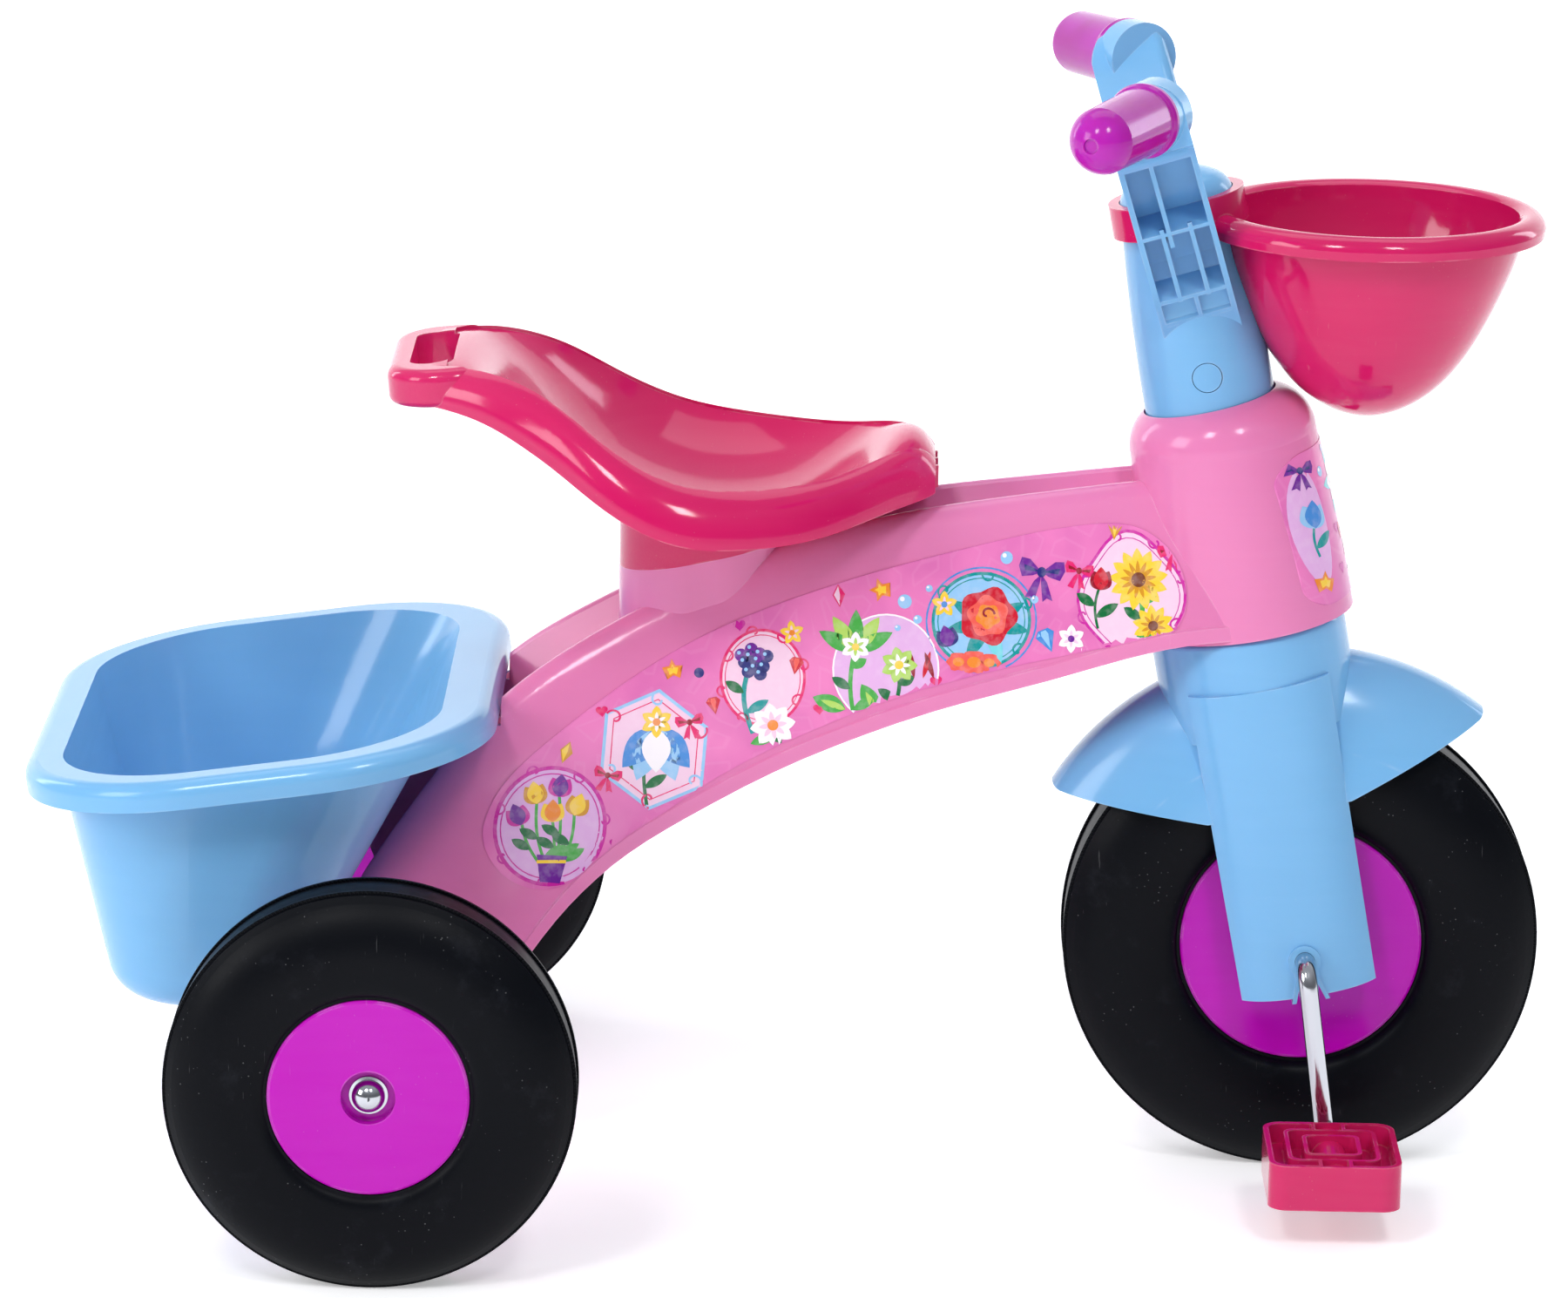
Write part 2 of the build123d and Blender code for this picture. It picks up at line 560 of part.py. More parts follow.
with BuildPart() as arm_end:
    with BuildSketch(Plane(origin=GRIP_ROOT, x_dir=(0, 0, 1), z_dir=GRIP_DIR)):
        Circle(16.6)
    extrude(amount=-15.0)
    with BuildSketch(Plane(origin=GRIP_ROOT, x_dir=(0, 0, 1), z_dir=GRIP_DIR)):
        Circle(GRIP_SPIGOT_R)
    extrude(amount=GRIP_L - 14.0)
    with BuildSketch(Plane(origin=GRIP_ROOT, x_dir=(0, 0, 1), z_dir=GRIP_DIR)):
        Circle(GRIP_SPIGOT_R - 2.8)
    extrude(amount=GRIP_L - 10.0, mode=Mode.SUBTRACT)

with BuildPart() as grip_half_space:
    with BuildSketch(Plane(origin=GRIP_ROOT, x_dir=(0, 0, 1), z_dir=GRIP_DIR)):
        Rectangle(90, 90)
    extrude(amount=80)

arm_body = arm_solid.part - (arm_channel.part - arm_ribs.part) - grip_half_space.part + arm_end.part
arms = mirrored_pair(arm_body)

with BuildPart() as handlebar:
    add(stem_body(0, 366.5, STEM_LOW))
    for side in (1, -1):
        add(arms[side])
    # hollow of the stem above the steerer, and the groove between its inner tube and its wall
    with BuildSketch(steer(STEM_LOW - 1.0)):
        Circle(STEERER_R)
    extrude(amount=STEERER_TOP - STEM_LOW + 1.0, mode=Mode.SUBTRACT)
    with BuildSketch(steer(STEERER_TOP)):
        Circle(STEERER_R - STEERER_WALL)
    extrude(amount=12.0, mode=Mode.SUBTRACT)
    with BuildSketch(STEER_SIDE):
        with BuildLine():
            Polyline((0, 311.0), (22.0, 311.0), (22.6, 344.0), (16.5, 355.5), (0, 361.5), (0, 311.0))
        make_face()
    revolve(axis=STEER_AXIS, mode=Mode.SUBTRACT)
    with BuildSketch(steer(STEM_LOW - 1.0)):
        Circle(STEM_R_LOW - 3.2)
        Circle(STEERER_R + 2.6, mode=Mode.SUBTRACT)
        for angle in (0, 60, 120):
            Rectangle(80, 2.2, rotation=angle, mode=Mode.SUBTRACT)
        Rectangle(2 * BUTTON_R + 5.0, 80, mode=Mode.SUBTRACT)
    extrude(amount=47.0, mode=Mode.SUBTRACT)
    with BuildSketch(Plane(origin=steer(BUTTON_AT).origin, z_dir=(0, 1, 0))):
        Circle(BUTTON_R + 0.35)
    extrude(amount=STEM_R_LOW + 4.0, both=True, mode=Mode.SUBTRACT)
save(handlebar, "handlebar")

for side, tail in ((1, "left"), (-1, "right")):
    origin = steer(BUTTON_AT).origin
    with BuildPart() as button:
        with BuildSketch(Plane(origin=origin, x_dir=(1, 0, 0), z_dir=(0, side, 0))):
            Circle(BUTTON_R)
        extrude(amount=STEM_R_LOW + 2.0)
        with BuildSketch(Plane(origin=origin, x_dir=(1, 0, 0), z_dir=(0, side, 0))):
            Rectangle(60, 60)
        extrude(amount=BUTTON_TRAVEL + 7.0, mode=Mode.SUBTRACT)
        add(stem_body(-0.1, 366.5, STEM_LOW), mode=Mode.INTERSECT)
        # the inner head is wider than the hole in the steerer
        with BuildSketch(Plane(origin=origin, x_dir=(1, 0, 0), z_dir=(0, side, 0)).offset(BUTTON_TRAVEL + 7.0)):
            Circle(BUTTON_R + 1.4)
        extrude(amount=1.6)
    save(button, "lock_button_" + tail)

with BuildPart() as grip_shape:
    grip_plane = Plane(origin=GRIP_ROOT, x_dir=(0, 0, 1), z_dir=GRIP_DIR)
    with BuildSketch(Plane(origin=GRIP_ROOT, x_dir=GRIP_DIR, z_dir=Vector(*GRIP_DIR).cross(Vector(0, 0, 1)))):
        with BuildLine():
            Polyline((0, 0), (0, GRIP_R + 1.6), (2.6, GRIP_R + 1.9), (5.0, GRIP_R + 1.2), (6.0, GRIP_R + 0.4),
                     (GRIP_L - 12.0, GRIP_R - 0.2))
            ThreePointArc((GRIP_L - 12.0, GRIP_R - 0.2), (GRIP_L - 3.6, GRIP_R * 0.66), (GRIP_L, 3.4))
            Polyline((GRIP_L, 3.4), (GRIP_L - 1.2, 3.0), (GRIP_L - 1.2, 0), (0, 0))
        make_face()
    revolve(axis=Axis(GRIP_ROOT, GRIP_DIR))
    with BuildSketch(grip_plane):
        Circle(GRIP_SPIGOT_R)
    extrude(amount=GRIP_L - 12.0, mode=Mode.SUBTRACT)
grips = mirrored_pair(grip_shape.part)
for side, tail in ((1, "left"), (-1, "right")):
    with BuildPart() as grip:
        add(grips[side])
    save(grip, "grip_" + tail)

# ---------------------------------------------------------------- front basket with its collar
BASKET_AXIS = Axis((FRONT_X + BASKET_AT, 0, BASKET_RIM_Z), (0, 0, 1))
BASKET_SIDE = Plane(origin=(FRONT_X + BASKET_AT, 0, 0), x_dir=(1, 0, 0), z_dir=(0, -1, 0))


def bowl(inset, top):
    line = [(0.1, 355.8 + inset), (14.0, 358.9 + inset), (32.0 - 0.6 * inset, 370.2 + 0.8 * inset),
            (47.0 - 0.9 * inset, 389.0 + 0.4 * inset), (60.0 - inset, 415.0), (67.0 - inset, 434.0),
            (69.6 - inset, top)]
    with BuildPart() as shape:
        with BuildSketch(BASKET_SIDE):
            with BuildLine():
                Spline(*line)
                Polyline(line[-1], (0, top), (0, line[0][1]), line[0])
            make_face()
        revolve(axis=BASKET_AXIS)
    return shape.part


bowl_outer = bowl(0, BASKET_RIM_Z + 3.0)
bowl_inner = bowl(BASKET_WALL, BASKET_RIM_Z + 6.0)
stem_room = stem_body(0.15, 367.5, 240.0)
stem_sleeve = stem_body(0.15 + BASKET_WALL, 372.0, 240.0)

with BuildPart() as basket:
    add(bowl_outer)
    # rolled rim
    with BuildSketch(BASKET_SIDE):
        with BuildLine():
            Polyline((69.0 - BASKET_WALL, BASKET_RIM_Z - 3.0), (68.6 - BASKET_WALL, BASKET_RIM_Z + 2.0))
            ThreePointArc((68.6 - BASKET_WALL, BASKET_RIM_Z + 2.0), (73.6, BASKET_RIM_Z + 5.0),
                          (BASKET_RIM_R, BASKET_RIM_Z - 1.0))
            Polyline((BASKET_RIM_R, BASKET_RIM_Z - 1.0), (BASKET_RIM_R - 0.6, BASKET_RIM_Z - 5.0),
                     (BASKET_RIM_R - 2.8, BASKET_RIM_Z - 5.0))
            ThreePointArc((BASKET_RIM_R - 2.8, BASKET_RIM_Z - 5.0), (74.0, BASKET_RIM_Z + 1.6),
                          (69.4, BASKET_RIM_Z - 3.0))
            Line((69.4, BASKET_RIM_Z - 3.0), (69.0 - BASKET_WALL, BASKET_RIM_Z - 3.0))
        make_face()
    revolve(axis=BASKET_AXIS)
    add(bowl_inner, mode=Mode.SUBTRACT)
    add(stem_sleeve & bowl_outer)
    with BuildSketch(steer(COLLAR_LOW)):
        Circle(STEM_R_HIGH + 5.0)
    extrude(amount=COLLAR_H)
    with BuildSketch(steer(STEERER_TOP - 60.0)):
        Circle(STEM_R_HIGH + 5.0)
    arm_room = extrude(amount=2.0, mode=Mode.PRIVATE)
    add(stem_room, mode=Mode.SUBTRACT)
    with BuildSketch(steer(COLLAR_LOW + COLLAR_H)):
        Circle(STEM_R_HIGH + 0.15)
    extrude(amount=40.0, mode=Mode.SUBTRACT)
save(basket, "front_basket")

# ---------------------------------------------------------------- rear bin
RIM_ROLL = 7.0
TILT_SIN = math.sin(math.radians(BIN_TILT))
TILT_COS = math.cos(math.radians(BIN_TILT))
RIM_HALF = BIN_X / TILT_COS / 2 - 0.3
# middle of the bin's rim ahead of the front axle, set so that the rim ends the tricycle
BIN_AT = -LENGTH / 2 - FRONT_X + (RIM_HALF - RIM_ROLL) * TILT_COS - RIM_ROLL * TILT_SIN + RIM_ROLL
BIN_TOP = 216.7           # height of the rim there
BIN_FLOOR = 93.0


def bin_plane(down):
    return Plane(origin=(FRONT_X + BIN_AT + down * TILT_SIN, 0, BIN_TOP - down * TILT_COS),
                 x_dir=(TILT_COS, 0, TILT_SIN), z_dir=(-TILT_SIN, 0, TILT_COS))


def bin_body(inset, top_up):
    with BuildPart() as tub:
        with BuildSketch(bin_plane(-top_up)):
            with Locations((-2.5, 0)):
                RectangleRounded(BIN_X - 34.0 - 2 * inset, BIN_Y - 28.0 - 2 * inset, 66.0 - inset)
        with BuildSketch(level(BIN_FLOOR + inset, -504.5)):
            RectangleRounded(77.0 - 2 * inset, 222.0 - 2 * inset, 36.0 - inset)
        loft(ruled=True)
        fillet(tub.faces().sort_by(Axis.Z)[0].edges(), 20.0 - inset)
    return tub.part


tub_outer = bin_body(0, 0)
tub_inner = bin_body(BIN_WALL, 0.0)

with BuildPart() as bin_rim:
    with BuildSketch(bin_plane(12.5)):
        RectangleRounded(2 * RIM_HALF, BIN_Y, 80.0)
    extrude(amount=12.5)
    fillet(bin_rim.faces().sort_by(Axis((0, 0, 0), (-TILT_SIN, 0, TILT_COS)))[-1].edges(), RIM_ROLL)
    with BuildSketch(bin_plane(12.6)):
        RectangleRounded(2 * RIM_HALF - 5.0, BIN_Y - 5.0, 77.5)
    extrude(amount=9.0, mode=Mode.SUBTRACT)

with BuildPart() as rear_bin:
    add(bin_rim.part)
    add(tub_outer)
    add(tub_inner, mode=Mode.SUBTRACT)
save(rear_bin, "rear_bin")

# ---------------------------------------------------------------- frame: arch, head, seat column, axle housing
# each section of the arch: crest (x, z), lower edge (x, z), half spacing of the crests, half width below, valley
ARCH = [
    ((-28.0, 331.0), (-14.0, 263.0), 13.0, 40.0, 9.0),
    ((-58.0, 328.5), (-50.0, 258.0), 15.0, 45.5, 10.0),
    ((-90.0, 325.5), (-84.6, 251.0), 17.0, 47.0, 10.5),
    ((-122.0, 321.3), (-116.8, 240.8), 18.5, 46.5, 11.0),
    ((-170.0, 314.5), (-160.9, 227.8), 22.0, 46.0, 11.5),
    ((-225.0, 302.0), (-203.0, 213.0), 25.5, 46.5, 12.0),
    ((-275.0, 282.5), (-246.0, 194.0), 29.0, 47.5, 12.5),
    ((-315.0, 262.0), (-284.0, 173.0), 31.5, 49.5, 13.0),
    ((-343.0, 245.5), (-313.0, 154.0), 36.0, 51.0, 13.5),
    ((-370.0, 225.5), (-345.0, 122.0), 41.5, 53.0, 14.0),
    ((-400.0, 190.0), (-371.0, 88.0), 44.0, 54.0, 13.0),
    ((-436.0, 132.0), (-404.0, 66.0), 45.0, 54.0, 11.0),
    ((-452.0, 104.0), (-418.0, 52.0), 45.0, 54.0, 11.0),
]
EDGE_BAND = 7.5


def arch_sections(first, last):
    for (tx, tz), (bx, bz), crest, low, valley in ARCH[first:last]:
        h = math.hypot(tx - bx, tz - bz)
        ux = (tx - bx) / h
        uz = (tz - bz) / h
        plane = Plane(origin=(FRONT_X + tx, 0, tz), x_dir=(0, 1, 0), z_dir=(uz, 0, -ux))
        yield plane, h, crest, low, valley


def arch_body(first, last, inset, extra):
    """Arch between two of its sections, all its faces moved in by inset."""
    with BuildPart() as body:
        for plane, h, crest, low, valley in arch_sections(first, last):
            side = [
                (crest - 4.0, -1.2 - inset),
                (crest, -inset),
                (crest + 5.0 - 0.5 * inset, -2.6 - inset),
                (crest + 10.5 - inset, -12.0 - inset),
                ((crest + 10.5) * 0.42 + low * 0.58 + 1.6 - inset, -0.55 * h),
                (low - inset, -h + EDGE_BAND),
            ]
            foot = [(low - inset, -h - extra)]
            if inset == 0:
                foot = [(low + 0.9, -h + EDGE_BAND - 0.8), (low + 1.1, -h)]
            floor_half = max(crest - 11.0, 2.5)
            other = [(-y, s) for y, s in side]
            with BuildSketch(plane):
                with BuildLine():
                    Polyline(other[0], (-floor_half, -valley - inset), (floor_half, -valley - inset), side[0])
                    Spline(*side)
                    Polyline(side[-1], *foot, *[(-y, s) for y, s in reversed(foot)], other[-1])
                    Spline(*reversed(other))
                make_face()
        loft()
    return body.part


SEAT_AT = -278.0
SEAT_TILT = 12.5
COLUMN_X = 80.0
COLUMN_Y = 79.0
COLUMN_TOP = 290.2
column_plane = Plane(origin=(FRONT_X + SEAT_AT, 0, COLUMN_TOP),
                     x_dir=(math.cos(math.radians(SEAT_TILT)), 0, math.sin(math.radians(SEAT_TILT))),
                     z_dir=(-math.sin(math.radians(SEAT_TILT)), 0, math.cos(math.radians(SEAT_TILT))))


def column(inset, low, drop):
    with BuildPart() as post:
        with BuildSketch(level(low, SEAT_AT)):
            RectangleRounded(COLUMN_X - 2 * inset, COLUMN_Y - 2 * inset, 34.0 - inset)
        extrude(amount=120.0)
        with BuildSketch(column_plane.offset(-drop)):
            Rectangle(200, 200)
        extrude(amount=200, mode=Mode.SUBTRACT)
    return post.part


HEAD_FORWARD = 3.0


def head_shape(inset, low, top_in):
    line = [(46.8 - inset, low), (46.2 - inset, 175.0), (44.6 - inset, 210.0), (43.0 - inset, HEAD_TOP - 22.0)]
    with BuildPart() as shape:
        origin = steer(0, HEAD_FORWARD).origin
        with BuildSketch(Plane(origin=origin, x_dir=(COS, 0, SIN), z_dir=(0, -1, 0))):
            with BuildLine():
                Spline(*line)
                ThreePointArc(line[-1], (38.0 - inset, HEAD_TOP - 7.0 - top_in), (26.0, HEAD_TOP - top_in))
                Polyline((26.0, HEAD_TOP - top_in), (0, HEAD_TOP - top_in), (0, low), line[0])
            make_face()
        revolve(axis=Axis(origin, (-SIN, 0, COS)))
    return shape.part


arch_outer = arch_body(0, 12, 0, 0)
arch_inner = arch_body(2, 13, WALL, 14.0)
arch_middle = arch_body(2, 12, WALL / 2, 1.0 - EDGE_BAND)
HOUSING_HALF = HOUSING_END

# rooms kept free for the rear bin and its way up
with BuildPart() as bin_room:
    with BuildSketch(SIDE):
        with BuildLine():
            Polyline((-370.0, 300.0), (-370.0, 214.6), (-389.8, 212.2), (-465.6, BIN_FLOOR - 0.3),
                     (-640.0, BIN_FLOOR - 0.3), (-640.0, 300.0), close=True)
        make_face()
    extrude(amount=170.0, both=True)

arch_ribs = []
for section in (4, 6, 8):
    for plane, h, crest, low, valley in arch_sections(section, section + 1):
        with BuildPart() as rib:
            with BuildSketch(plane):
                with Locations((0, -h / 2 + 3.0)):
                    Rectangle(130.0, h - 10.0)
            extrude(amount=2.5)
        arch_ribs.append(rib.part & arch_middle)

with BuildPart() as frame:
    add(arch_outer)
    add(head_shape(0, HEAD_LOW, 0))
    add(column(0, 230.0, 0))
    add(arch_inner, mode=Mode.SUBTRACT)
    # axle housing with a shelf for the bin
    with BuildSketch(wheel_plane(REAR_X, 0, REAR_R)):
        with BuildLine():
            Polyline((-HOUSING_HALF, 0), (-HOUSING_HALF, HOUSING_R - 3.0), (-60.0, HOUSING_R + 1.0),
                     (60.0, HOUSING_R + 1.0), (HOUSING_HALF, HOUSING_R - 3.0), (HOUSING_HALF, 0), close=True)
        make_face()
    revolve(axis=REAR_AXLE)
    with BuildSketch(level(BIN_FLOOR - 7.5, -462.0)):
        RectangleRounded(96.0, 104.0, 14.0)
    extrude(amount=8.0)
    add(column(WALL, 262.0, WALL), mode=Mode.SUBTRACT)
    for rib in arch_ribs:
        add(rib)
    # hollow of the head round its inner tube
    with BuildPart(mode=Mode.PRIVATE) as head_tube:
        with BuildSketch(steer(HEAD_LOW - 5.0)):
            Circle(STEERER_R + RUNNING + 3.6)
            for angle in (0, 45, 90, 135):
                Rectangle(120, 2.4, rotation=angle)
        extrude(amount=HEAD_TOP - HEAD_LOW + 8.0)
    add(head_shape(3.4, HEAD_LOW - 2.0, 13.0) - head_tube.part, mode=Mode.SUBTRACT)
    # hollow of the axle housing, left open below, with the two bearing walls
    for side in (1, -1):
        with BuildSketch(Plane(origin=(REAR_X, side * 61.0, REAR_R), z_dir=(0, side, 0))):
            Circle(HOUSING_R - 4.6)
            Rectangle(2 * (HOUSING_R - 4.6), 60.0, align=(Align.CENTER, Align.MIN if side < 0 else Align.MAX))
        extrude(amount=HOUSING_HALF - 61.0 - 12.0, mode=Mode.SUBTRACT)
    for side in (1, -1):
        with BuildSketch(Plane(origin=(REAR_X, side * (HOUSING_HALF - 66.0), REAR_R), z_dir=(0, side, 0))):
            Circle(HOUSING_R - 3.0)
        extrude(amount=3.0)
    with BuildSketch(Plane(origin=(REAR_X, 0, REAR_R), z_dir=(0, 1, 0))):
        Circle(HOUSING_R - 3.5)
    extrude(amount=56.0, both=True)
    with BuildSketch(Plane(origin=(REAR_X, 0, REAR_R), z_dir=(0, 1, 0))):
        Circle(REAR_ROD / 2)
    extrude(amount=200.0, both=True, mode=Mode.SUBTRACT)
    add(bin_room.part, mode=Mode.SUBTRACT)
    with BuildSketch(steer(HEAD_LOW - 10.0)):
        Circle(STEERER_R + RUNNING)
    extrude(amount=130.0, mode=Mode.SUBTRACT)
    with BuildSketch(steer(STEM_LOW - 1.0)):
        Circle(STEM_R_LOW + 0.8)
    extrude(amount=20.0, mode=Mode.SUBTRACT)
save(frame, "frame")

# ---------------------------------------------------------------- seat
# sections of the seat: x, lip (y, z), outer skirt (y, z), middle of the upper face z
SEAT = [
    (-396.0, (43.0, 380.0), (54.0, 362.0), 381.5),
    (-380.0, (51.0, 379.5), (62.0, 358.5), 378.5),
    (-362.0, (59.0, 375.5), (71.0, 350.5), 362.0),
    (-342.0, (71.0, 366.0), (83.5, 339.0), 338.0),
    (-318.0, (85.0, 350.5), (98.0, 324.0), 319.0),
    (-290.0, (91.5, 338.0), (104.5, 312.8), 309.5),
    (-260.0, (84.0, 334.0), (98.0, 310.0), 308.5),
    (-230.0, (67.0, 334.5), (83.0, 311.5), 317.0),
    (-206.0, (46.0, 338.5), (62.0, 315.5), 335.0),
    (-188.0, (29.0, 342.0), (44.0, 319.0), 347.0),
    (-174.0, (17.0, 334.5), (29.0, 322.0), 337.5),
]
# the skirt ends inside the bail
SEAT_TAIL = (-409.0, (40.0, 378.0), (48.5, 364.5), 378.6)
SEAT_T = 3.2


def seat_shell():
    with BuildPart() as shell:
        for x, (lip_y, lip_z), (out_y, out_z), mid_z in [SEAT_TAIL] + SEAT:
            deep = lip_z - mid_z
            top = [(-lip_y, lip_z), (-lip_y * 0.86, lip_z - 0.36 * deep), (-lip_y * 0.5, lip_z - 0.83 * deep),
                   (0, mid_z)]
            top += [(-y, z) for y, z in reversed(top[:-1])]
            low = [(-lip_y + 0.4, lip_z - 5.5), (-lip_y * 0.86 + 1.0, lip_z - 0.36 * deep - SEAT_T - 0.8),
                   (-lip_y * 0.5, lip_z - 0.83 * deep - SEAT_T - 0.2), (0, mid_z - SEAT_T)]
            low += [(-y, z) for y, z in reversed(low[:-1])]
            with BuildSketch(Plane(origin=(FRONT_X + x, 0, 0), x_dir=(0, 1, 0), z_dir=(1, 0, 0))):
                with BuildLine():
                    Spline(*top)
                    for side in (1, -1):
                        ThreePointArc((side * lip_y, lip_z),
                                      (side * (lip_y * 0.36 + out_y * 0.64 + 1.2), lip_z * 0.60 + out_z * 0.40 + 1.0),
                                      (side * out_y, out_z))
                        Line((side * out_y, out_z), (side * (out_y - 2.6), out_z))
                        ThreePointArc((side * (out_y - 2.6), out_z),
                                      (side * (lip_y * 0.40 + out_y * 0.60 - 2.0),
                                       lip_z * 0.58 + out_z * 0.42 - 2.4),
                                      (side * (lip_y - 0.4), lip_z - 5.5))
                    Spline(*low)
                make_face()
        loft()
    return shell.part


def seat_above():
    """Everything over the upper face of the seat, to trim what stands under it."""
    with BuildPart() as above:
        for x, (lip_y, lip_z), (out_y, out_z), mid_z in SEAT:
            deep = lip_z - mid_z
            top = [(-lip_y, lip_z - 1.5), (-lip_y * 0.86, lip_z - 0.36 * deep - 1.5),
                   (-lip_y * 0.5, lip_z - 0.83 * deep - 1.5), (0, mid_z - 1.5)]
            top += [(-y, z) for y, z in reversed(top[:-1])]
            with BuildSketch(Plane(origin=(FRONT_X + x, 0, 0), x_dir=(0, 1, 0), z_dir=(1, 0, 0))):
                with BuildLine():
                    Spline(*top)
                    Polyline((lip_y, lip_z - 1.5), (lip_y, 440.0), (-lip_y, 440.0), (-lip_y, lip_z - 1.5))
                make_face()
        loft()
    return above.part


seat_shell_part = seat_shell()
seat_above_part = seat_above()

# bail at the back of the seat, to carry the tricycle by
bail_plane = Plane(origin=(FRONT_X - 397.0, 0, 362.6), x_dir=(COS, 0, 0.0875), z_dir=(-0.0875, 0, COS))
with BuildPart() as bail:
    with BuildSketch(bail_plane):
        RectangleRounded(51.0, 107.0, 24.0)
    extrude(amount=17.2)
    fillet(bail.faces().sort_by(Axis.Z)[-1].edges(), 5.5)
    fillet(bail.faces().sort_by(Axis.Z)[0].edges(), 3.5)
bail_body = bail.part

with BuildPart() as seat_neck:
    add(column(0.0, 250.0, -70.0))
    add(column(WALL, 250.0, -80.0), mode=Mode.SUBTRACT)
    with BuildSketch(column_plane):
        Rectangle(200, 200)
    extrude(amount=-200, mode=Mode.SUBTRACT)

with BuildPart() as seat:
    add(seat_shell_part)
    # bail at the back
    add(bail_body)
    with BuildSketch(bail_plane.offset(-4.0)):
        with Locations((-5.0, 0)):
            RectangleRounded(20.0, 70.0, 8.0)
    extrude(amount=30.0, mode=Mode.SUBTRACT)
    # ribs under the horn of the seat
    for y in (-15.0, 0.0, 15.0):
        with BuildSketch(SIDE.offset(y - 1.25)):
            with BuildLine():
                Polyline((-236.0, 312.0), (-236.0, 332.0), (-172.5, 332.0), (-172.5, 322.0), (-185.0, 318.5),
                         close=True)
            make_face()
        extrude(amount=2.5)
    add(seat_neck.part)
    add(seat_above_part, mode=Mode.SUBTRACT)
save(seat, "seat")

# ---------------------------------------------------------------- stickers
STICKER_LINE = [
    (-377.0, 170.0), (-367.0, 190.0), (-349.0, 207.5), (-312.0, 236.0), (-276.0, 258.0), (-240.0, 273.5),
    (-198.0, 287.5), (-146.0, 301.0), (-103.0, 309.0), (-83.0, 308.5), (-68.0, 300.0), (-60.0, 286.0),
    (-60.0, 271.0), (-68.0, 260.5), (-82.0, 257.5), (-102.0, 254.0), (-145.0, 243.5), (-188.0, 230.5),
    (-231.0, 212.5), (-274.0, 189.5), (-304.0, 167.5), (-329.0, 147.5), (-346.0, 138.0), (-363.0, 141.0),
    (-374.0, 152.5),
]

sticker_skin = arch_body(1, 12, -STICKER_T, 0)
for side, tail in ((1, "left"), (-1, "right")):
    with BuildPart() as side_sticker:
        with BuildSketch(SIDE.offset(-side * 20.0)):
            with BuildLine():
                Spline(*STICKER_LINE, periodic=True)
            make_face()
        extrude(amount=-side * 60.0)
        add(sticker_skin, mode=Mode.INTERSECT)
        add(arch_outer, mode=Mode.SUBTRACT)
        add(head_shape(0, HEAD_LOW, 0), mode=Mode.SUBTRACT)
    save(side_sticker, "side_sticker_" + tail)

with BuildPart() as head_sticker:
    with BuildSketch(Plane(origin=steer(195.0).origin, x_dir=(0, 1, 0), z_dir=(COS, 0, SIN))):
        RectangleRounded(80.0, 72.0, 12.0)
    extrude(amount=80.0)
    add(head_shape(-STICKER_T, HEAD_LOW, 0), mode=Mode.INTERSECT)
    add(head_shape(0, HEAD_LOW, 0), mode=Mode.SUBTRACT)
save(head_sticker, "head_sticker")
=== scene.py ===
import math

import bmesh
import bpy
from mathutils import Matrix, Vector
from mathutils.bvhtree import BVHTree


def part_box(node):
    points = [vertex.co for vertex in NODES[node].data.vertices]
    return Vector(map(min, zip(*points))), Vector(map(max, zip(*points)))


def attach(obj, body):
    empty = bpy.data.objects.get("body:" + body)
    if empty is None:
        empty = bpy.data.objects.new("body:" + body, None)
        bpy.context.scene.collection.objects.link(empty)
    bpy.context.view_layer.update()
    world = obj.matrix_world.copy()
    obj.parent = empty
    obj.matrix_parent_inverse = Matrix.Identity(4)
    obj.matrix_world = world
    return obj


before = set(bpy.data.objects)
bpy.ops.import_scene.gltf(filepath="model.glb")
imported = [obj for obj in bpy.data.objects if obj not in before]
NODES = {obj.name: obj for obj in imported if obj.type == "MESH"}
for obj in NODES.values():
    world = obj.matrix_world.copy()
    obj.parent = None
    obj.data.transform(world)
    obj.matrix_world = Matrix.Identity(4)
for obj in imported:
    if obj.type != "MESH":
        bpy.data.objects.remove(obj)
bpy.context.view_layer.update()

# ---------------------------------------------------------------- colours of the mouldings, linear
def srgb(red, green, blue):
    """Linear colour from the 0 to 255 values a colour card gives."""
    def line(v):
        v /= 255.0
        return v / 12.92 if v <= 0.04045 else ((v + 0.055) / 1.055) ** 2.4
    return (line(red), line(green), line(blue), 1.0)


SHELL_PINK = srgb(224, 127, 178)
DEEP_PINK = srgb(203, 24, 94)
SKY_BLUE = srgb(118, 178, 224)
ORCHID = srgb(186, 8, 178)
GRIP_ORCHID = srgb(178, 34, 170)
TYRE_BLACK = srgb(4, 6, 12)
PLATED = srgb(196, 198, 204)
FILM_PINK = srgb(236, 128, 190)


# ---------------------------------------------------------------- shader node groups shared by the mouldings
def sockets(tree, ins, outs):
    for name, kind, value in ins:
        s = tree.interface.new_socket(name, in_out="INPUT", socket_type="NodeSocket" + kind)
        if value is not None:
            s.default_value = value
    for name, kind in outs:
        tree.interface.new_socket(name, in_out="OUTPUT", socket_type="NodeSocket" + kind)
    return tree.nodes.new("NodeGroupInput"), tree.nodes.new("NodeGroupOutput")


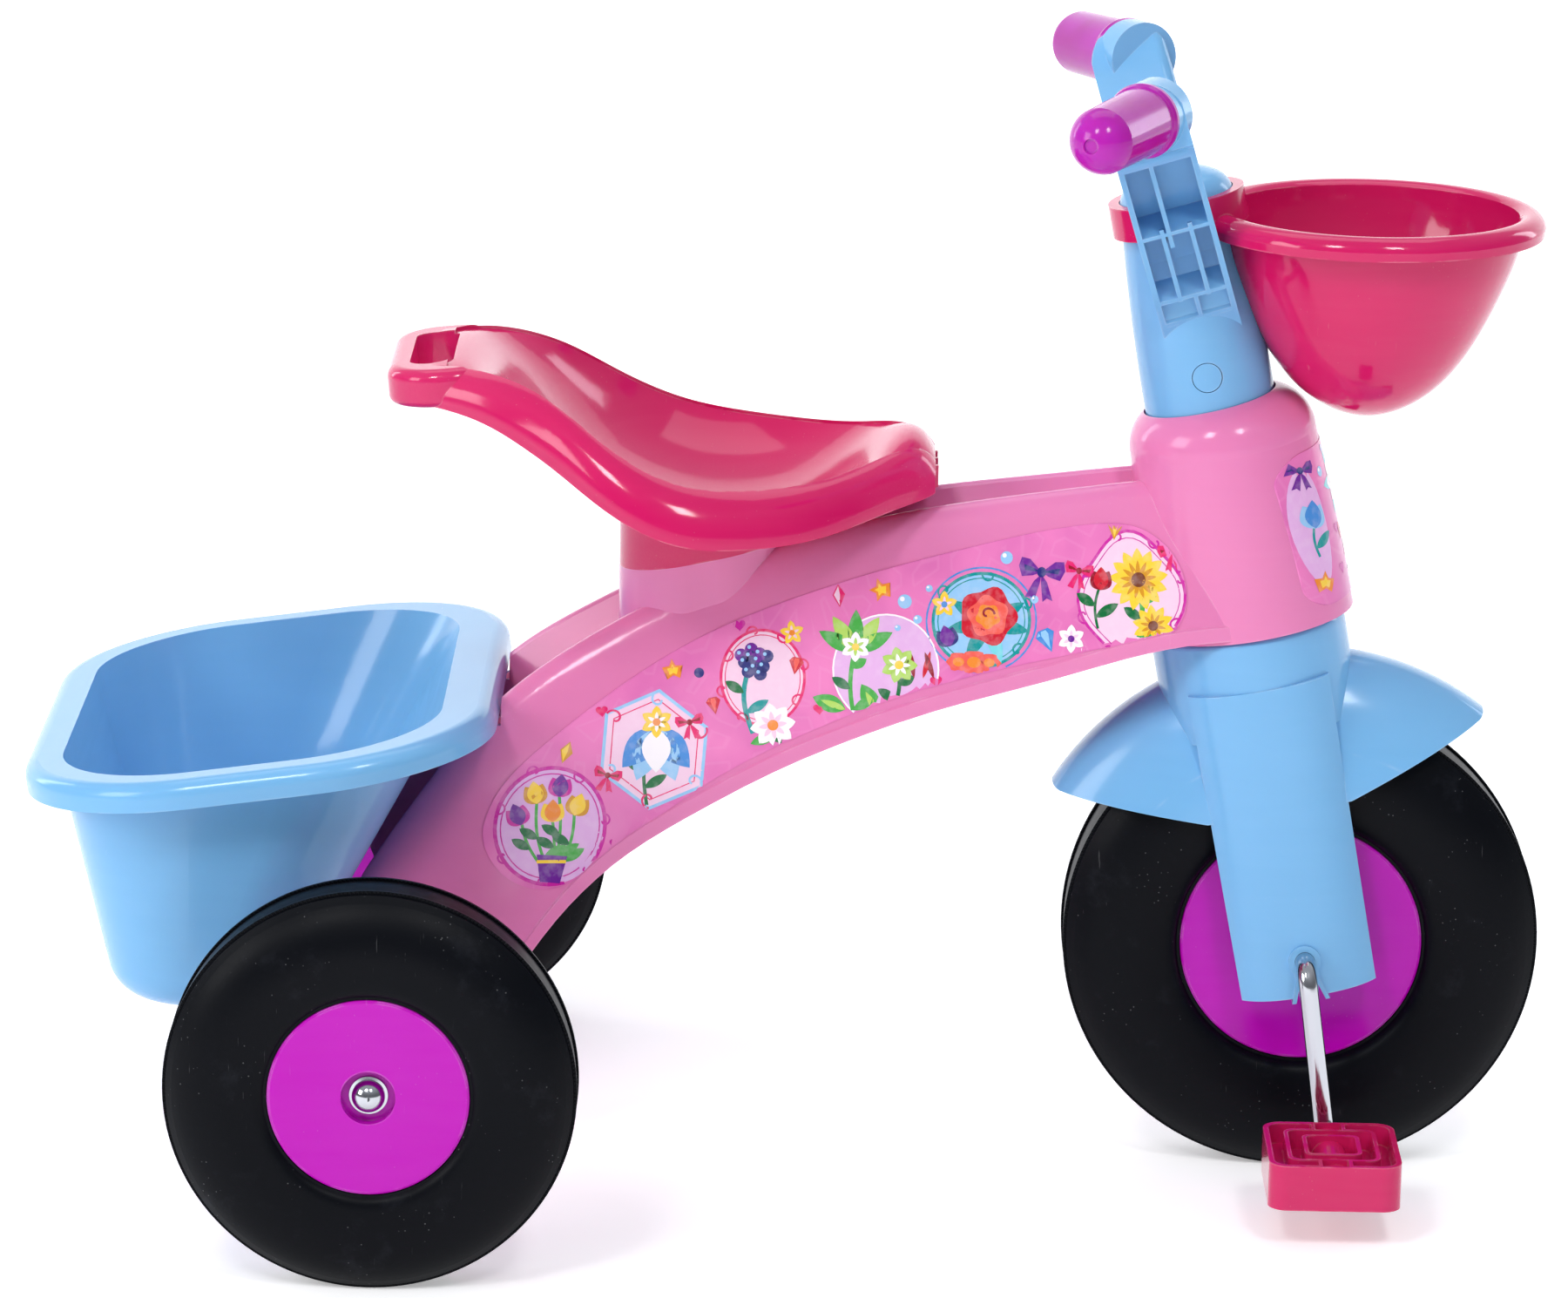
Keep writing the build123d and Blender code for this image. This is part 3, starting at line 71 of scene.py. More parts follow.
def put(tree, kind, **values):
    """A new node; a name with a capital is a socket, another is a property of the node."""
    node = tree.nodes.new(kind)
    for name, value in values.items():
        name = name.replace("_", " ") if name[0].isupper() else name
        if name[0].isupper():
            if isinstance(value, bpy.types.NodeSocket):
                tree.links.new(value, node.inputs[name])
            else:
                node.inputs[name].default_value = value
        else:
            setattr(node, name, value)
    return node


def maths(tree, operation, a, b=0.0, clamp=False):
    node = tree.nodes.new("ShaderNodeMath")
    node.operation = operation
    node.use_clamp = clamp
    for i, value in enumerate((a, b)):
        if isinstance(value, bpy.types.NodeSocket):
            tree.links.new(value, node.inputs[i])
        else:
            node.inputs[i].default_value = value
    return node.outputs[0]


def mix(tree, share, a, b, blend="MIX"):
    node = tree.nodes.new("ShaderNodeMix")
    node.data_type = "RGBA"
    node.blend_type = blend
    for name, value in (("Factor", share), ("A", a), ("B", b)):
        s = [i for i in node.inputs if i.name == name and i.enabled][0]
        if isinstance(value, bpy.types.NodeSocket):
            tree.links.new(value, s)
        else:
            s.default_value = value
    return [o for o in node.outputs if o.enabled][0]


def ramp(tree, value, low, high):
    """0 below low and 1 above high, smooth between them."""
    node = put(tree, "ShaderNodeMapRange", interpolation_type="SMOOTHSTEP", Value=value,
               From_Min=low, From_Max=high, To_Min=0.0, To_Max=1.0)
    return node.outputs[0]


def moulding_group():
    """Injection-moulded plastic: slow shade drift, faint flow lines, orange peel, hair scratches, dust."""
    t = bpy.data.node_groups.new("moulded plastic", "ShaderNodeTree")
    gi, go = sockets(t, [
        ("Colour", "Color", (0.5, 0.5, 0.5, 1)), ("Shade drift", "Float", 0.06), ("Roughness", "Float", 0.2),
        ("Roughness drift", "Float", 0.08), ("Peel", "Float", 0.15), ("Peel size", "Float", 260.0),
        ("Scratches", "Float", 0.2), ("Dust", "Float", 0.06),
    ], [("Colour", "Color"), ("Roughness", "Float"), ("Height", "Float")])
    where = put(t, "ShaderNodeTexCoord").outputs["Object"]
    drift = put(t, "ShaderNodeTexNoise", Vector=where, Scale=9.0, Detail=3.0, Roughness=0.55).outputs[0]
    flow_space = put(t, "ShaderNodeMapping", Vector=where, Scale=(7.0, 7.0, 60.0)).outputs[0]
    flow = put(t, "ShaderNodeTexNoise", Vector=flow_space, Scale=2.2, Detail=4.0, Distortion=0.8).outputs[0]
    peel = put(t, "ShaderNodeTexNoise", Vector=where, Scale=gi.outputs["Peel size"], Detail=2.0).outputs[0]
    fine = put(t, "ShaderNodeTexNoise", Vector=where, Scale=1500.0, Detail=2.0).outputs[0]
    scratch_space = put(t, "ShaderNodeMapping", Vector=where, Rotation=(0.5, 0.9, 0.3),
                        Scale=(900.0, 60.0, 80.0)).outputs[0]
    hair = put(t, "ShaderNodeTexNoise", Vector=scratch_space, Scale=1.0, Detail=5.0, Distortion=0.4).outputs[0]
    where_used = put(t, "ShaderNodeTexNoise", Vector=where, Scale=14.0, Detail=2.0).outputs[0]
    hair = maths(t, "MULTIPLY", ramp(t, hair, 0.68, 0.78), ramp(t, where_used, 0.52, 0.66))
    scratch = maths(t, "MULTIPLY", hair, gi.outputs["Scratches"])
    specks = put(t, "ShaderNodeTexVoronoi", Vector=where, Scale=330.0, Randomness=1.0)
    speck = maths(t, "SUBTRACT", 1.0, ramp(t, specks.outputs["Distance"], 0.07, 0.13))
    sparse = ramp(t, put(t, "ShaderNodeTexNoise", Vector=where, Scale=45.0, Detail=2.0).outputs[0], 0.52, 0.62)
    dust = maths(t, "MULTIPLY", maths(t, "MULTIPLY", speck, sparse), gi.outputs["Dust"])
    shade = maths(t, "MULTIPLY", maths(t, "SUBTRACT", maths(t, "ADD", maths(t, "MULTIPLY", drift, 0.65),
                  maths(t, "MULTIPLY", flow, 0.35)), 0.5), gi.outputs["Shade drift"])
    bright = maths(t, "ADD", maths(t, "MULTIPLY", shade, 2.0), 1.0)
    colour = put(t, "ShaderNodeHueSaturation", Color=gi.outputs["Colour"], Value=bright,
                 Saturation=maths(t, "SUBTRACT", 1.0, shade)).outputs[0]
    colour = mix(t, maths(t, "MULTIPLY", scratch, 0.35), colour, (0.9, 0.9, 0.92, 1))
    colour = mix(t, dust, colour, (0.78, 0.78, 0.8, 1))
    t.links.new(colour, go.inputs["Colour"])
    rough = maths(t, "ADD", gi.outputs["Roughness"], maths(t, "MULTIPLY", maths(t, "SUBTRACT", flow, 0.5),
                  gi.outputs["Roughness drift"]))
    rough = maths(t, "ADD", rough, maths(t, "ADD", maths(t, "MULTIPLY", scratch, 0.3), dust), clamp=True)
    t.links.new(rough, go.inputs["Roughness"])
    high = maths(t, "ADD", maths(t, "MULTIPLY", peel, gi.outputs["Peel"]), maths(t, "MULTIPLY", fine, 0.04))
    high = maths(t, "SUBTRACT", high, maths(t, "MULTIPLY", scratch, 0.5))
    t.links.new(high, go.inputs["Height"])
    return t


def edge_group():
    """A mask of the sharp outer edges, from how far the rounded normal leaves the flat one."""
    t = bpy.data.node_groups.new("handled edges", "ShaderNodeTree")
    gi, go = sockets(t, [("Width", "Float", 0.0012), ("Amount", "Float", 0.5)], [("Mask", "Float")])
    flat = put(t, "ShaderNodeNewGeometry").outputs["Normal"]
    rounded = put(t, "ShaderNodeBevel", samples=2, Radius=gi.outputs["Width"]).outputs[0]
    near = put(t, "ShaderNodeVectorMath", operation="DOT_PRODUCT")
    t.links.new(flat, near.inputs[0])
    t.links.new(rounded, near.inputs[1])
    edge = maths(t, "SUBTRACT", 1.0, ramp(t, near.outputs["Value"], 0.80, 0.99))
    where = put(t, "ShaderNodeTexCoord").outputs["Object"]
    worn = ramp(t, put(t, "ShaderNodeTexNoise", Vector=where, Scale=70.0, Detail=4.0).outputs[0], 0.42, 0.62)
    t.links.new(maths(t, "MULTIPLY", maths(t, "MULTIPLY", edge, worn), gi.outputs["Amount"]), go.inputs["Mask"])
    return t


MOULDING = moulding_group()
EDGES = edge_group()


def finish_of(name, colour, roughness, coat=0.0, metal=0.0, bump=0.25, subsurface=0.0, edge=0.25,
              edge_tint=(0.9, 0.9, 0.92, 1), shine=0.30, **surface):
    """A Principled material on the moulded plastic and handled edges groups."""
    m = bpy.data.materials.new(name)
    m.use_nodes = True
    t = m.node_tree
    shader = t.nodes["Principled BSDF"]
    shader.inputs["Metallic"].default_value = metal
    shader.inputs["Coat Weight"].default_value = coat
    shader.inputs["Coat Roughness"].default_value = 0.06
    shader.inputs["IOR"].default_value = 1.5
    shader.inputs["Specular IOR Level"].default_value = shine
    shader.inputs["Subsurface Weight"].default_value = subsurface
    shader.inputs["Subsurface Scale"].default_value = 0.002
    g = t.nodes.new("ShaderNodeGroup")
    g.node_tree = MOULDING
    g.inputs["Roughness"].default_value = roughness
    if isinstance(colour, tuple):
        g.inputs["Colour"].default_value = colour
    else:
        t.links.new(colour(t), g.inputs["Colour"])
    for key, value in surface.items():
        g.inputs[key.replace("_", " ")].default_value = value
    e = t.nodes.new("ShaderNodeGroup")
    e.node_tree = EDGES
    e.inputs["Amount"].default_value = edge
    t.links.new(mix(t, e.outputs["Mask"], g.outputs["Colour"], edge_tint), shader.inputs["Base Color"])
    t.links.new(g.outputs["Roughness"], shader.inputs["Roughness"])
    bumped = put(t, "ShaderNodeBump", Strength=bump, Distance=0.0004, Height=g.outputs["Height"])
    t.links.new(bumped.outputs[0], shader.inputs["Normal"])
    return m


def bowl_grain(t):
    """The seat's colour: the bucket's floor is grained, so it is a shade paler than the polished rim."""
    where = put(t, "ShaderNodeTexCoord").outputs["Object"]
    parts = put(t, "ShaderNodeSeparateXYZ", Vector=where)
    across = maths(t, "ABSOLUTE", parts.outputs["Y"])
    inside = maths(t, "SUBTRACT", 1.0, ramp(t, across, 0.052, 0.070))
    grain = put(t, "ShaderNodeTexNoise", Vector=where, Scale=900.0, Detail=3.0).outputs[0]
    return mix(t, maths(t, "MULTIPLY", inside, maths(t, "MULTIPLY", grain, 0.08)), DEEP_PINK,
               srgb(236, 120, 160))


def film_print(t):
    """The printed film's ground: pink with a quiet brocade of paler loops and a darker line at its edge."""
    where = put(t, "ShaderNodeTexCoord").outputs["Object"]
    flat = put(t, "ShaderNodeMapping", Vector=where, Scale=(60.0, 0.0, 60.0)).outputs[0]
    loops = put(t, "ShaderNodeTexVoronoi", Vector=flat, Scale=1.0, feature="DISTANCE_TO_EDGE").outputs["Distance"]
    line = maths(t, "SUBTRACT", 1.0, ramp(t, maths(t, "ABSOLUTE", maths(t, "SUBTRACT", loops, 0.16)), 0.01, 0.05))
    blot = put(t, "ShaderNodeTexNoise", Vector=flat, Scale=0.45, Detail=3.0).outputs[0]
    ground = mix(t, ramp(t, blot, 0.35, 0.65), FILM_PINK, srgb(222, 114, 180))
    return mix(t, maths(t, "MULTIPLY", line, 0.16), ground, srgb(240, 160, 206))


def ink_colour(t):
    """Printed motifs take their ink from the mesh's own colour attribute, with a fine screen in it."""
    ink = put(t, "ShaderNodeAttribute", attribute_name="ink").outputs["Color"]
    where = put(t, "ShaderNodeTexCoord").outputs["Object"]
    screen = put(t, "ShaderNodeTexNoise", Vector=where, Scale=240.0, Detail=3.0).outputs[0]
    return mix(t, maths(t, "MULTIPLY", ramp(t, screen, 0.4, 0.7), 0.12), ink, (0.95, 0.85, 0.92, 1))


def dusty_tread(t):
    """Black tyre with faint patches of grey dust."""
    where = put(t, "ShaderNodeTexCoord").outputs["Object"]
    patches = ramp(t, put(t, "ShaderNodeTexNoise", Vector=where, Scale=38.0, Detail=6.0, Roughness=0.7).outputs[0],
                   0.56, 0.74)
    return mix(t, maths(t, "MULTIPLY", patches, 0.03), TYRE_BLACK, srgb(110, 114, 128))


def orchid_depth(t):
    """Slightly see-through orchid plastic, in patches a little deeper."""
    where = put(t, "ShaderNodeTexCoord").outputs["Object"]
    slow = put(t, "ShaderNodeTexNoise", Vector=where, Scale=30.0, Detail=2.0).outputs[0]
    return mix(t, ramp(t, slow, 0.35, 0.65), GRIP_ORCHID, srgb(168, 26, 152))


FINISHES = {
    "shell_pink": finish_of("shell pink moulding", SHELL_PINK, 0.17, coat=0.10, subsurface=0.08, Shade_drift=0.05),
    "deep_pink": finish_of("deep pink moulding", DEEP_PINK, 0.11, coat=0.20, subsurface=0.05, Peel=0.10),
    "seat_pink": finish_of("deep pink seat", bowl_grain, 0.13, coat=0.18, subsurface=0.05, Peel=0.16),
    "sky_blue": finish_of("sky blue moulding", SKY_BLUE, 0.18, coat=0.10, subsurface=0.08, Shade_drift=0.05,
                          Scratches=0.25),
    "orchid": finish_of("orchid wheel disc", ORCHID, 0.14, coat=0.06, subsurface=0.08, shine=0.20,
                        Peel_size=180.0),
    "grip": finish_of("orchid grip", orchid_depth, 0.15, coat=0.15, subsurface=0.25, shine=0.22, Peel=0.08),
    "tyre": finish_of("black moulded tyre", dusty_tread, 0.42, coat=0.0, bump=0.30, shine=0.10, Peel=0.30,
                      Peel_size=620.0, Dust=0.10, Shade_drift=0.20, edge=0.10, edge_tint=(0.04, 0.045, 0.06, 1)),
    "steel": finish_of("plated steel", PLATED, 0.14, metal=1.0, shine=0.5, bump=0.12, Scratches=0.45,
                       Shade_drift=0.10, Roughness_drift=0.20, Dust=0.02, edge=0.2, edge_tint=(0.95, 0.95, 0.95, 1)),
    "film": finish_of("printed film", film_print, 0.16, coat=0.2, Peel=0.05, Shade_drift=0.02, edge=0.5,
                      edge_tint=srgb(170, 60, 130)),
    "ink": finish_of("printed inks", ink_colour, 0.18, coat=0.2, Peel=0.04, Shade_drift=0.02, edge=0.0),
}

NODE_FINISH = {
    "frame": "shell_pink", "seat": "seat_pink",
    "rear_bin": "sky_blue", "fork": "sky_blue", "handlebar": "sky_blue",
    "axle_clip_left": "sky_blue", "axle_clip_right": "sky_blue", "lock_button_left": "sky_blue",
    "lock_button_right": "sky_blue", "front_basket": "deep_pink", "pedal_left": "deep_pink",
    "pedal_right": "deep_pink", "grip_left": "grip", "grip_right": "grip", "front_tyre": "tyre",
    "rear_tyre_left": "tyre", "rear_tyre_right": "tyre", "crank_rod": "steel", "rear_axle": "steel",
    "rear_spacers": "steel", "axle_caps": "steel", "side_sticker_left": "film", "side_sticker_right": "film",
    "head_sticker": "film", "front_disc_left": "orchid", "front_disc_right": "orchid",
    "rear_disc_outer_left": "orchid", "rear_disc_outer_right": "orchid", "rear_disc_inner_left": "orchid",
    "rear_disc_inner_right": "orchid",
}
for node_name, finish_name in NODE_FINISH.items():
    node = NODES[node_name]
    node.data.materials.clear()
    node.data.materials.append(FINISHES[finish_name])

# ---------------------------------------------------------------- printed motifs, cut as thin film
MM = 0.001
INKS = {
    "lilac": srgb(226, 176, 226), "pale": srgb(244, 204, 228), "white": srgb(250, 244, 248),
    "rose": srgb(228, 36, 110), "magenta": srgb(206, 40, 160), "plum": srgb(112, 40, 150),
    "navy": srgb(40, 44, 120), "sky": srgb(150, 200, 240), "blue": srgb(70, 140, 214), "aqua": srgb(120, 214, 224),
    "teal": srgb(20, 150, 150), "leaf": srgb(70, 170, 70), "dark_leaf": srgb(24, 110, 60),
    "lime": srgb(176, 214, 96),
    "sun": srgb(250, 208, 60), "gold": srgb(214, 150, 40), "orange": srgb(240, 140, 50), "red": srgb(206, 30, 50),
    "ruby": srgb(150, 16, 40), "brown": srgb(120, 62, 34), "coral": srgb(240, 96, 84),
}


def turned(points, angle, at=(0.0, 0.0), size=1.0):
    c, s = math.cos(math.radians(angle)), math.sin(math.radians(angle))
    return [(at[0] + size * (x * c - y * s), at[1] + size * (x * s + y * c)) for x, y in points]


def round_shape(rx, ry, steps=40, wave=0.0, lobes=0):
    points = []
    for i in range(steps):
        a = math.tau * i / steps
        r = 1 + wave * math.cos(lobes * a)
        points.append((rx * r * math.cos(a), ry * r * math.sin(a)))
    return points


def petal(length, width, tip=0.0):
    """A leaf or petal from (0, 0) along +y."""
    side = [(width / 2 * math.sin(math.pi * t) ** 0.8 * (1 - 0.25 * tip * (2 * t - 1)), length * t)
            for t in [i / 9 for i in range(1, 9)]]
    return [(0, 0)] + side + [(0, length)] + [(-x, y) for x, y in reversed(side)]


def star_shape(outer, inner, points):
    out = []
    for i in range(2 * points):
        a = math.pi * i / points + math.pi / 2
        r = outer if i % 2 == 0 else inner
        out.append((r * math.cos(a), r * math.sin(a)))
    return out


class Print:
    """Collects flat shapes (outline, ink, layer) in mm and lays them on a sticker."""

    def __init__(self):
        self.shapes = []

    def cut(self, outline, ink, layer=1):
        self.shapes.append(([(x, z) for x, z in outline], ink, layer))

    def stroke(self, path, width, ink, layer=1, closed=False):
        """A line of even width along a path, as a run of four-sided pieces."""
        n = len(path)
        left, right = [], []
        for i, (x, z) in enumerate(path):
            before = path[(i - 1) % n] if closed or i else path[i]
            after = path[(i + 1) % n] if closed or i < n - 1 else path[i]
            dx, dz = after[0] - before[0], after[1] - before[1]
            size = math.hypot(dx, dz) or 1.0
            left.append((x - dz / size * width / 2, z + dx / size * width / 2))
            right.append((x + dz / size * width / 2, z - dx / size * width / 2))
        for i in range(n if closed else n - 1):
            j = (i + 1) % n
            self.cut([left[i], right[i], right[j], left[j]], ink, layer)

    def curl(self, at, size, angle, ink, layer=2, width=1.1, hand=1):
        """A spiral tendril."""
        path = []
        for i in range(22):
            t = i / 21
            r = 1.0 - 0.78 * t
            a = 4.6 * t * hand
            path.append((size * (r * math.cos(a) - 1.0), size * r * math.sin(a)))
        self.stroke(turned(path, angle, at), width, ink, layer)

    def flower(self, at, size, petals, ink, heart, layer=3, turn=0.0, width=0.62, second=None):
        for i in range(petals):
            self.cut(turned(petal(size, size * width), turn + 360 * i / petals, at), ink, layer)
            self.cut(turned(petal(size * 0.62, size * width * 0.35), turn + 360 * i / petals, at),
                     second or "pale", layer + 1)
        self.cut(turned(round_shape(size * 0.24, size * 0.24, 14), 0, at), heart, layer + 2)

    def tulip(self, at, size, ink, shade, angle=0.0, layer=4):
        for lean, tone, grow in ((-24, shade, 0.9), (24, shade, 0.9), (0, ink, 1.0)):
            self.cut(turned(petal(size * grow, size * 0.66, 1.0), angle + lean, at), tone, layer + (lean == 0))

    def stem(self, low, high, bend, ink="leaf", width=1.5, layer=2, leaves=2):
        (x0, z0), (x1, z1) = low, high
        path = []
        for i in range(13):
            t = i / 12
            path.append((x0 + (x1 - x0) * t + bend * math.sin(math.pi * t), z0 + (z1 - z0) * t))
        self.stroke(path, width, ink, layer)
        for k in range(leaves):
            x, z = path[3 + 3 * k]
            self.cut(turned(petal(12 - 2 * k, 4.6), (58 if k % 2 else -58), (x, z)), "dark_leaf" if k % 2 else ink,
                     layer + 1)

    def bow(self, at, size, ink, shade, angle=0.0, layer=6):
        for side in (1, -1):
            self.cut(turned([(0, 0), (side * 5, 4.4), (side * 8.4, 4.8), (side * 9.2, 1.4), (side * 7.6, -2.4),
                             (side * 3.4, -1.6)], angle, at, size), ink, layer)
            self.cut(turned([(0, 0), (side * 4.4, 1.6), (side * 7.2, 2.2), (side * 6.6, 0.0)], angle, at, size),
                     shade, layer + 1)
            self.cut(turned([(0, -0.8), (side * 2.6, -3.6), (side * 5.6, -10.4), (side * 3.2, -9.6),
                             (side * 1.7, -11.2), (side * 0.2, -4.0)], angle, at, size), ink, layer)
        self.cut(turned(round_shape(1.8, 2.0, 12), angle, at, size), shade, layer + 2)

    def gem(self, at, size, ink, light, angle=0.0, layer=6):
        self.cut(turned([(-0.62, 0.36), (-0.34, 0.7), (0.34, 0.7), (0.62, 0.36), (0, -0.8)], angle, at, size), ink,
                 layer)
        self.cut(turned([(-0.24, 0.36), (-0.16, 0.62), (0.16, 0.62), (0.24, 0.36), (0, -0.6)], angle, at, size),
                 light, layer + 1)
        self.cut(turned([(-0.52, 0.38), (-0.32, 0.60), (-0.28, 0.38)], angle, at, size), light, layer + 1)

    def kite(self, at, size, ink, light, angle=0.0, layer=6):
        self.cut(turned([(0, 1.0), (0.55, 0.1), (0, -1.0), (-0.55, 0.1)], angle, at, size), ink, layer)
        self.cut(turned([(0, 0.8), (0.1, 0.1), (0, -0.8), (-0.42, 0.1)], angle, at, size), light, layer + 1)

    def star(self, at, size, layer=6, angle=8.0):
        self.cut(turned(star_shape(size, size * 0.48, 5), angle, at), "orange", layer)
        self.cut(turned(star_shape(size * 0.55, size * 0.27, 5), angle, at), "sun", layer + 1)

    def heart(self, at, size, ink, layer=6, angle=0.0):
        out = []
        for i in range(28):
            a = math.tau * i / 28
            out.append((size * 0.062 * 16 * math.sin(a) ** 3 / 1.0,
                        size * 0.062 * (13 * math.cos(a) - 5 * math.cos(2 * a) - 2 * math.cos(3 * a)
                                        - math.cos(4 * a))))
        self.cut(turned(out, angle, at), ink, layer)

    def bubbles(self, spots, ink="sky"):
        for x, z, r in spots:
            self.cut(turned(round_shape(r, r, 18), 0, (x, z)), ink, 5)
            self.cut(turned(round_shape(r * 0.35, r * 0.35, 10), 0, (x - r * 0.35, z + r * 0.35)), "white", 6)

    def lay(self, name, sticker, body, side_axis, side, top_layer=10, gap=0.03):
        """Projects every shape on the sticker along one axis and makes the printed mesh."""
        tree = BVHTree.FromPolygons([v.co for v in sticker.data.vertices],
                                    [p.vertices for p in sticker.data.polygons])
        far = 0.5 * side
        made = bmesh.new()
        ink_of = made.loops.layers.float_color.new("ink")
        for outline, ink, layer in self.shapes:
            part = bmesh.new()
            loop = [part.verts.new((x, 0.0, z)) for x, z in outline]
            part.faces.new(loop)
            bmesh.ops.triangulate(part, faces=part.faces[:])
            for _ in range(4):
                long_edges = [e for e in part.edges if e.calc_length() > 5.0]
                if not long_edges:
                    break
                bmesh.ops.subdivide_edges(part, edges=long_edges, cuts=1)
                bmesh.ops.triangulate(part, faces=[f for f in part.faces if len(f.verts) > 3])
            new = {}
            for v in part.verts:
                x, z = v.co.x * MM, v.co.z * MM
                if side_axis == "y":
                    start, ray = Vector((x, far, z)), Vector((0, -side, 0))
                else:
                    start, ray = Vector((far, x, z)), Vector((-side, 0, 0))
                hit, normal, _, _ = tree.ray_cast(start, ray)
                if hit is None:
                    continue
                if normal.dot(ray) > 0:
                    normal = -normal
                new[v] = made.verts.new(hit + normal * (gap + 0.018 * layer) * MM)
            for f in part.faces:
                if all(v in new for v in f.verts):
                    made_face = made.faces.new([new[v] for v in f.verts])
                    for corner in made_face.loops:
                        corner[ink_of] = INKS[ink]
            part.free()
        made.normal_update()
        outward = Vector((0, side, 0)) if side_axis == "y" else Vector((side, 0, 0))
        for f in made.faces:
            if f.normal.dot(outward) < 0:
                f.normal_flip()
        mesh = bpy.data.meshes.new(name)
        made.to_mesh(mesh)
        made.free()
        piece = bpy.data.objects.new(name, mesh)
        bpy.context.scene.collection.objects.link(piece)
        mesh.materials.append(FINISHES["ink"])
        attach(piece, body)
        return piece


def ring_frame(p, at, rx, rz, ground, rim, layer=1, width=1.8, wave=0.0, lobes=0, curls=6, angle=0.0):
    """A framed medallion with tendrils on its rim."""
    shape = turned(round_shape(rx, rz, 44, wave, lobes), angle, at)
    p.cut(shape, ground, layer)
    p.stroke(shape, width, rim, layer + 1, closed=True)
    p.stroke(turned(round_shape(rx * 0.90, rz * 0.90, 44, wave, lobes), angle, at), width * 0.35, rim, layer + 1,
             closed=True)
    for i in range(curls):
        a = angle + 360 * i / curls + 20
        spot = turned([(rx, 0)], a, at)[0]
        spot = (at[0] + (spot[0] - at[0]), at[1] + (spot[1] - at[1]) * rz / rx)
        p.curl(spot, 3.4, a + 80, rim, layer + 2, 0.9, 1 if i % 2 else -1)


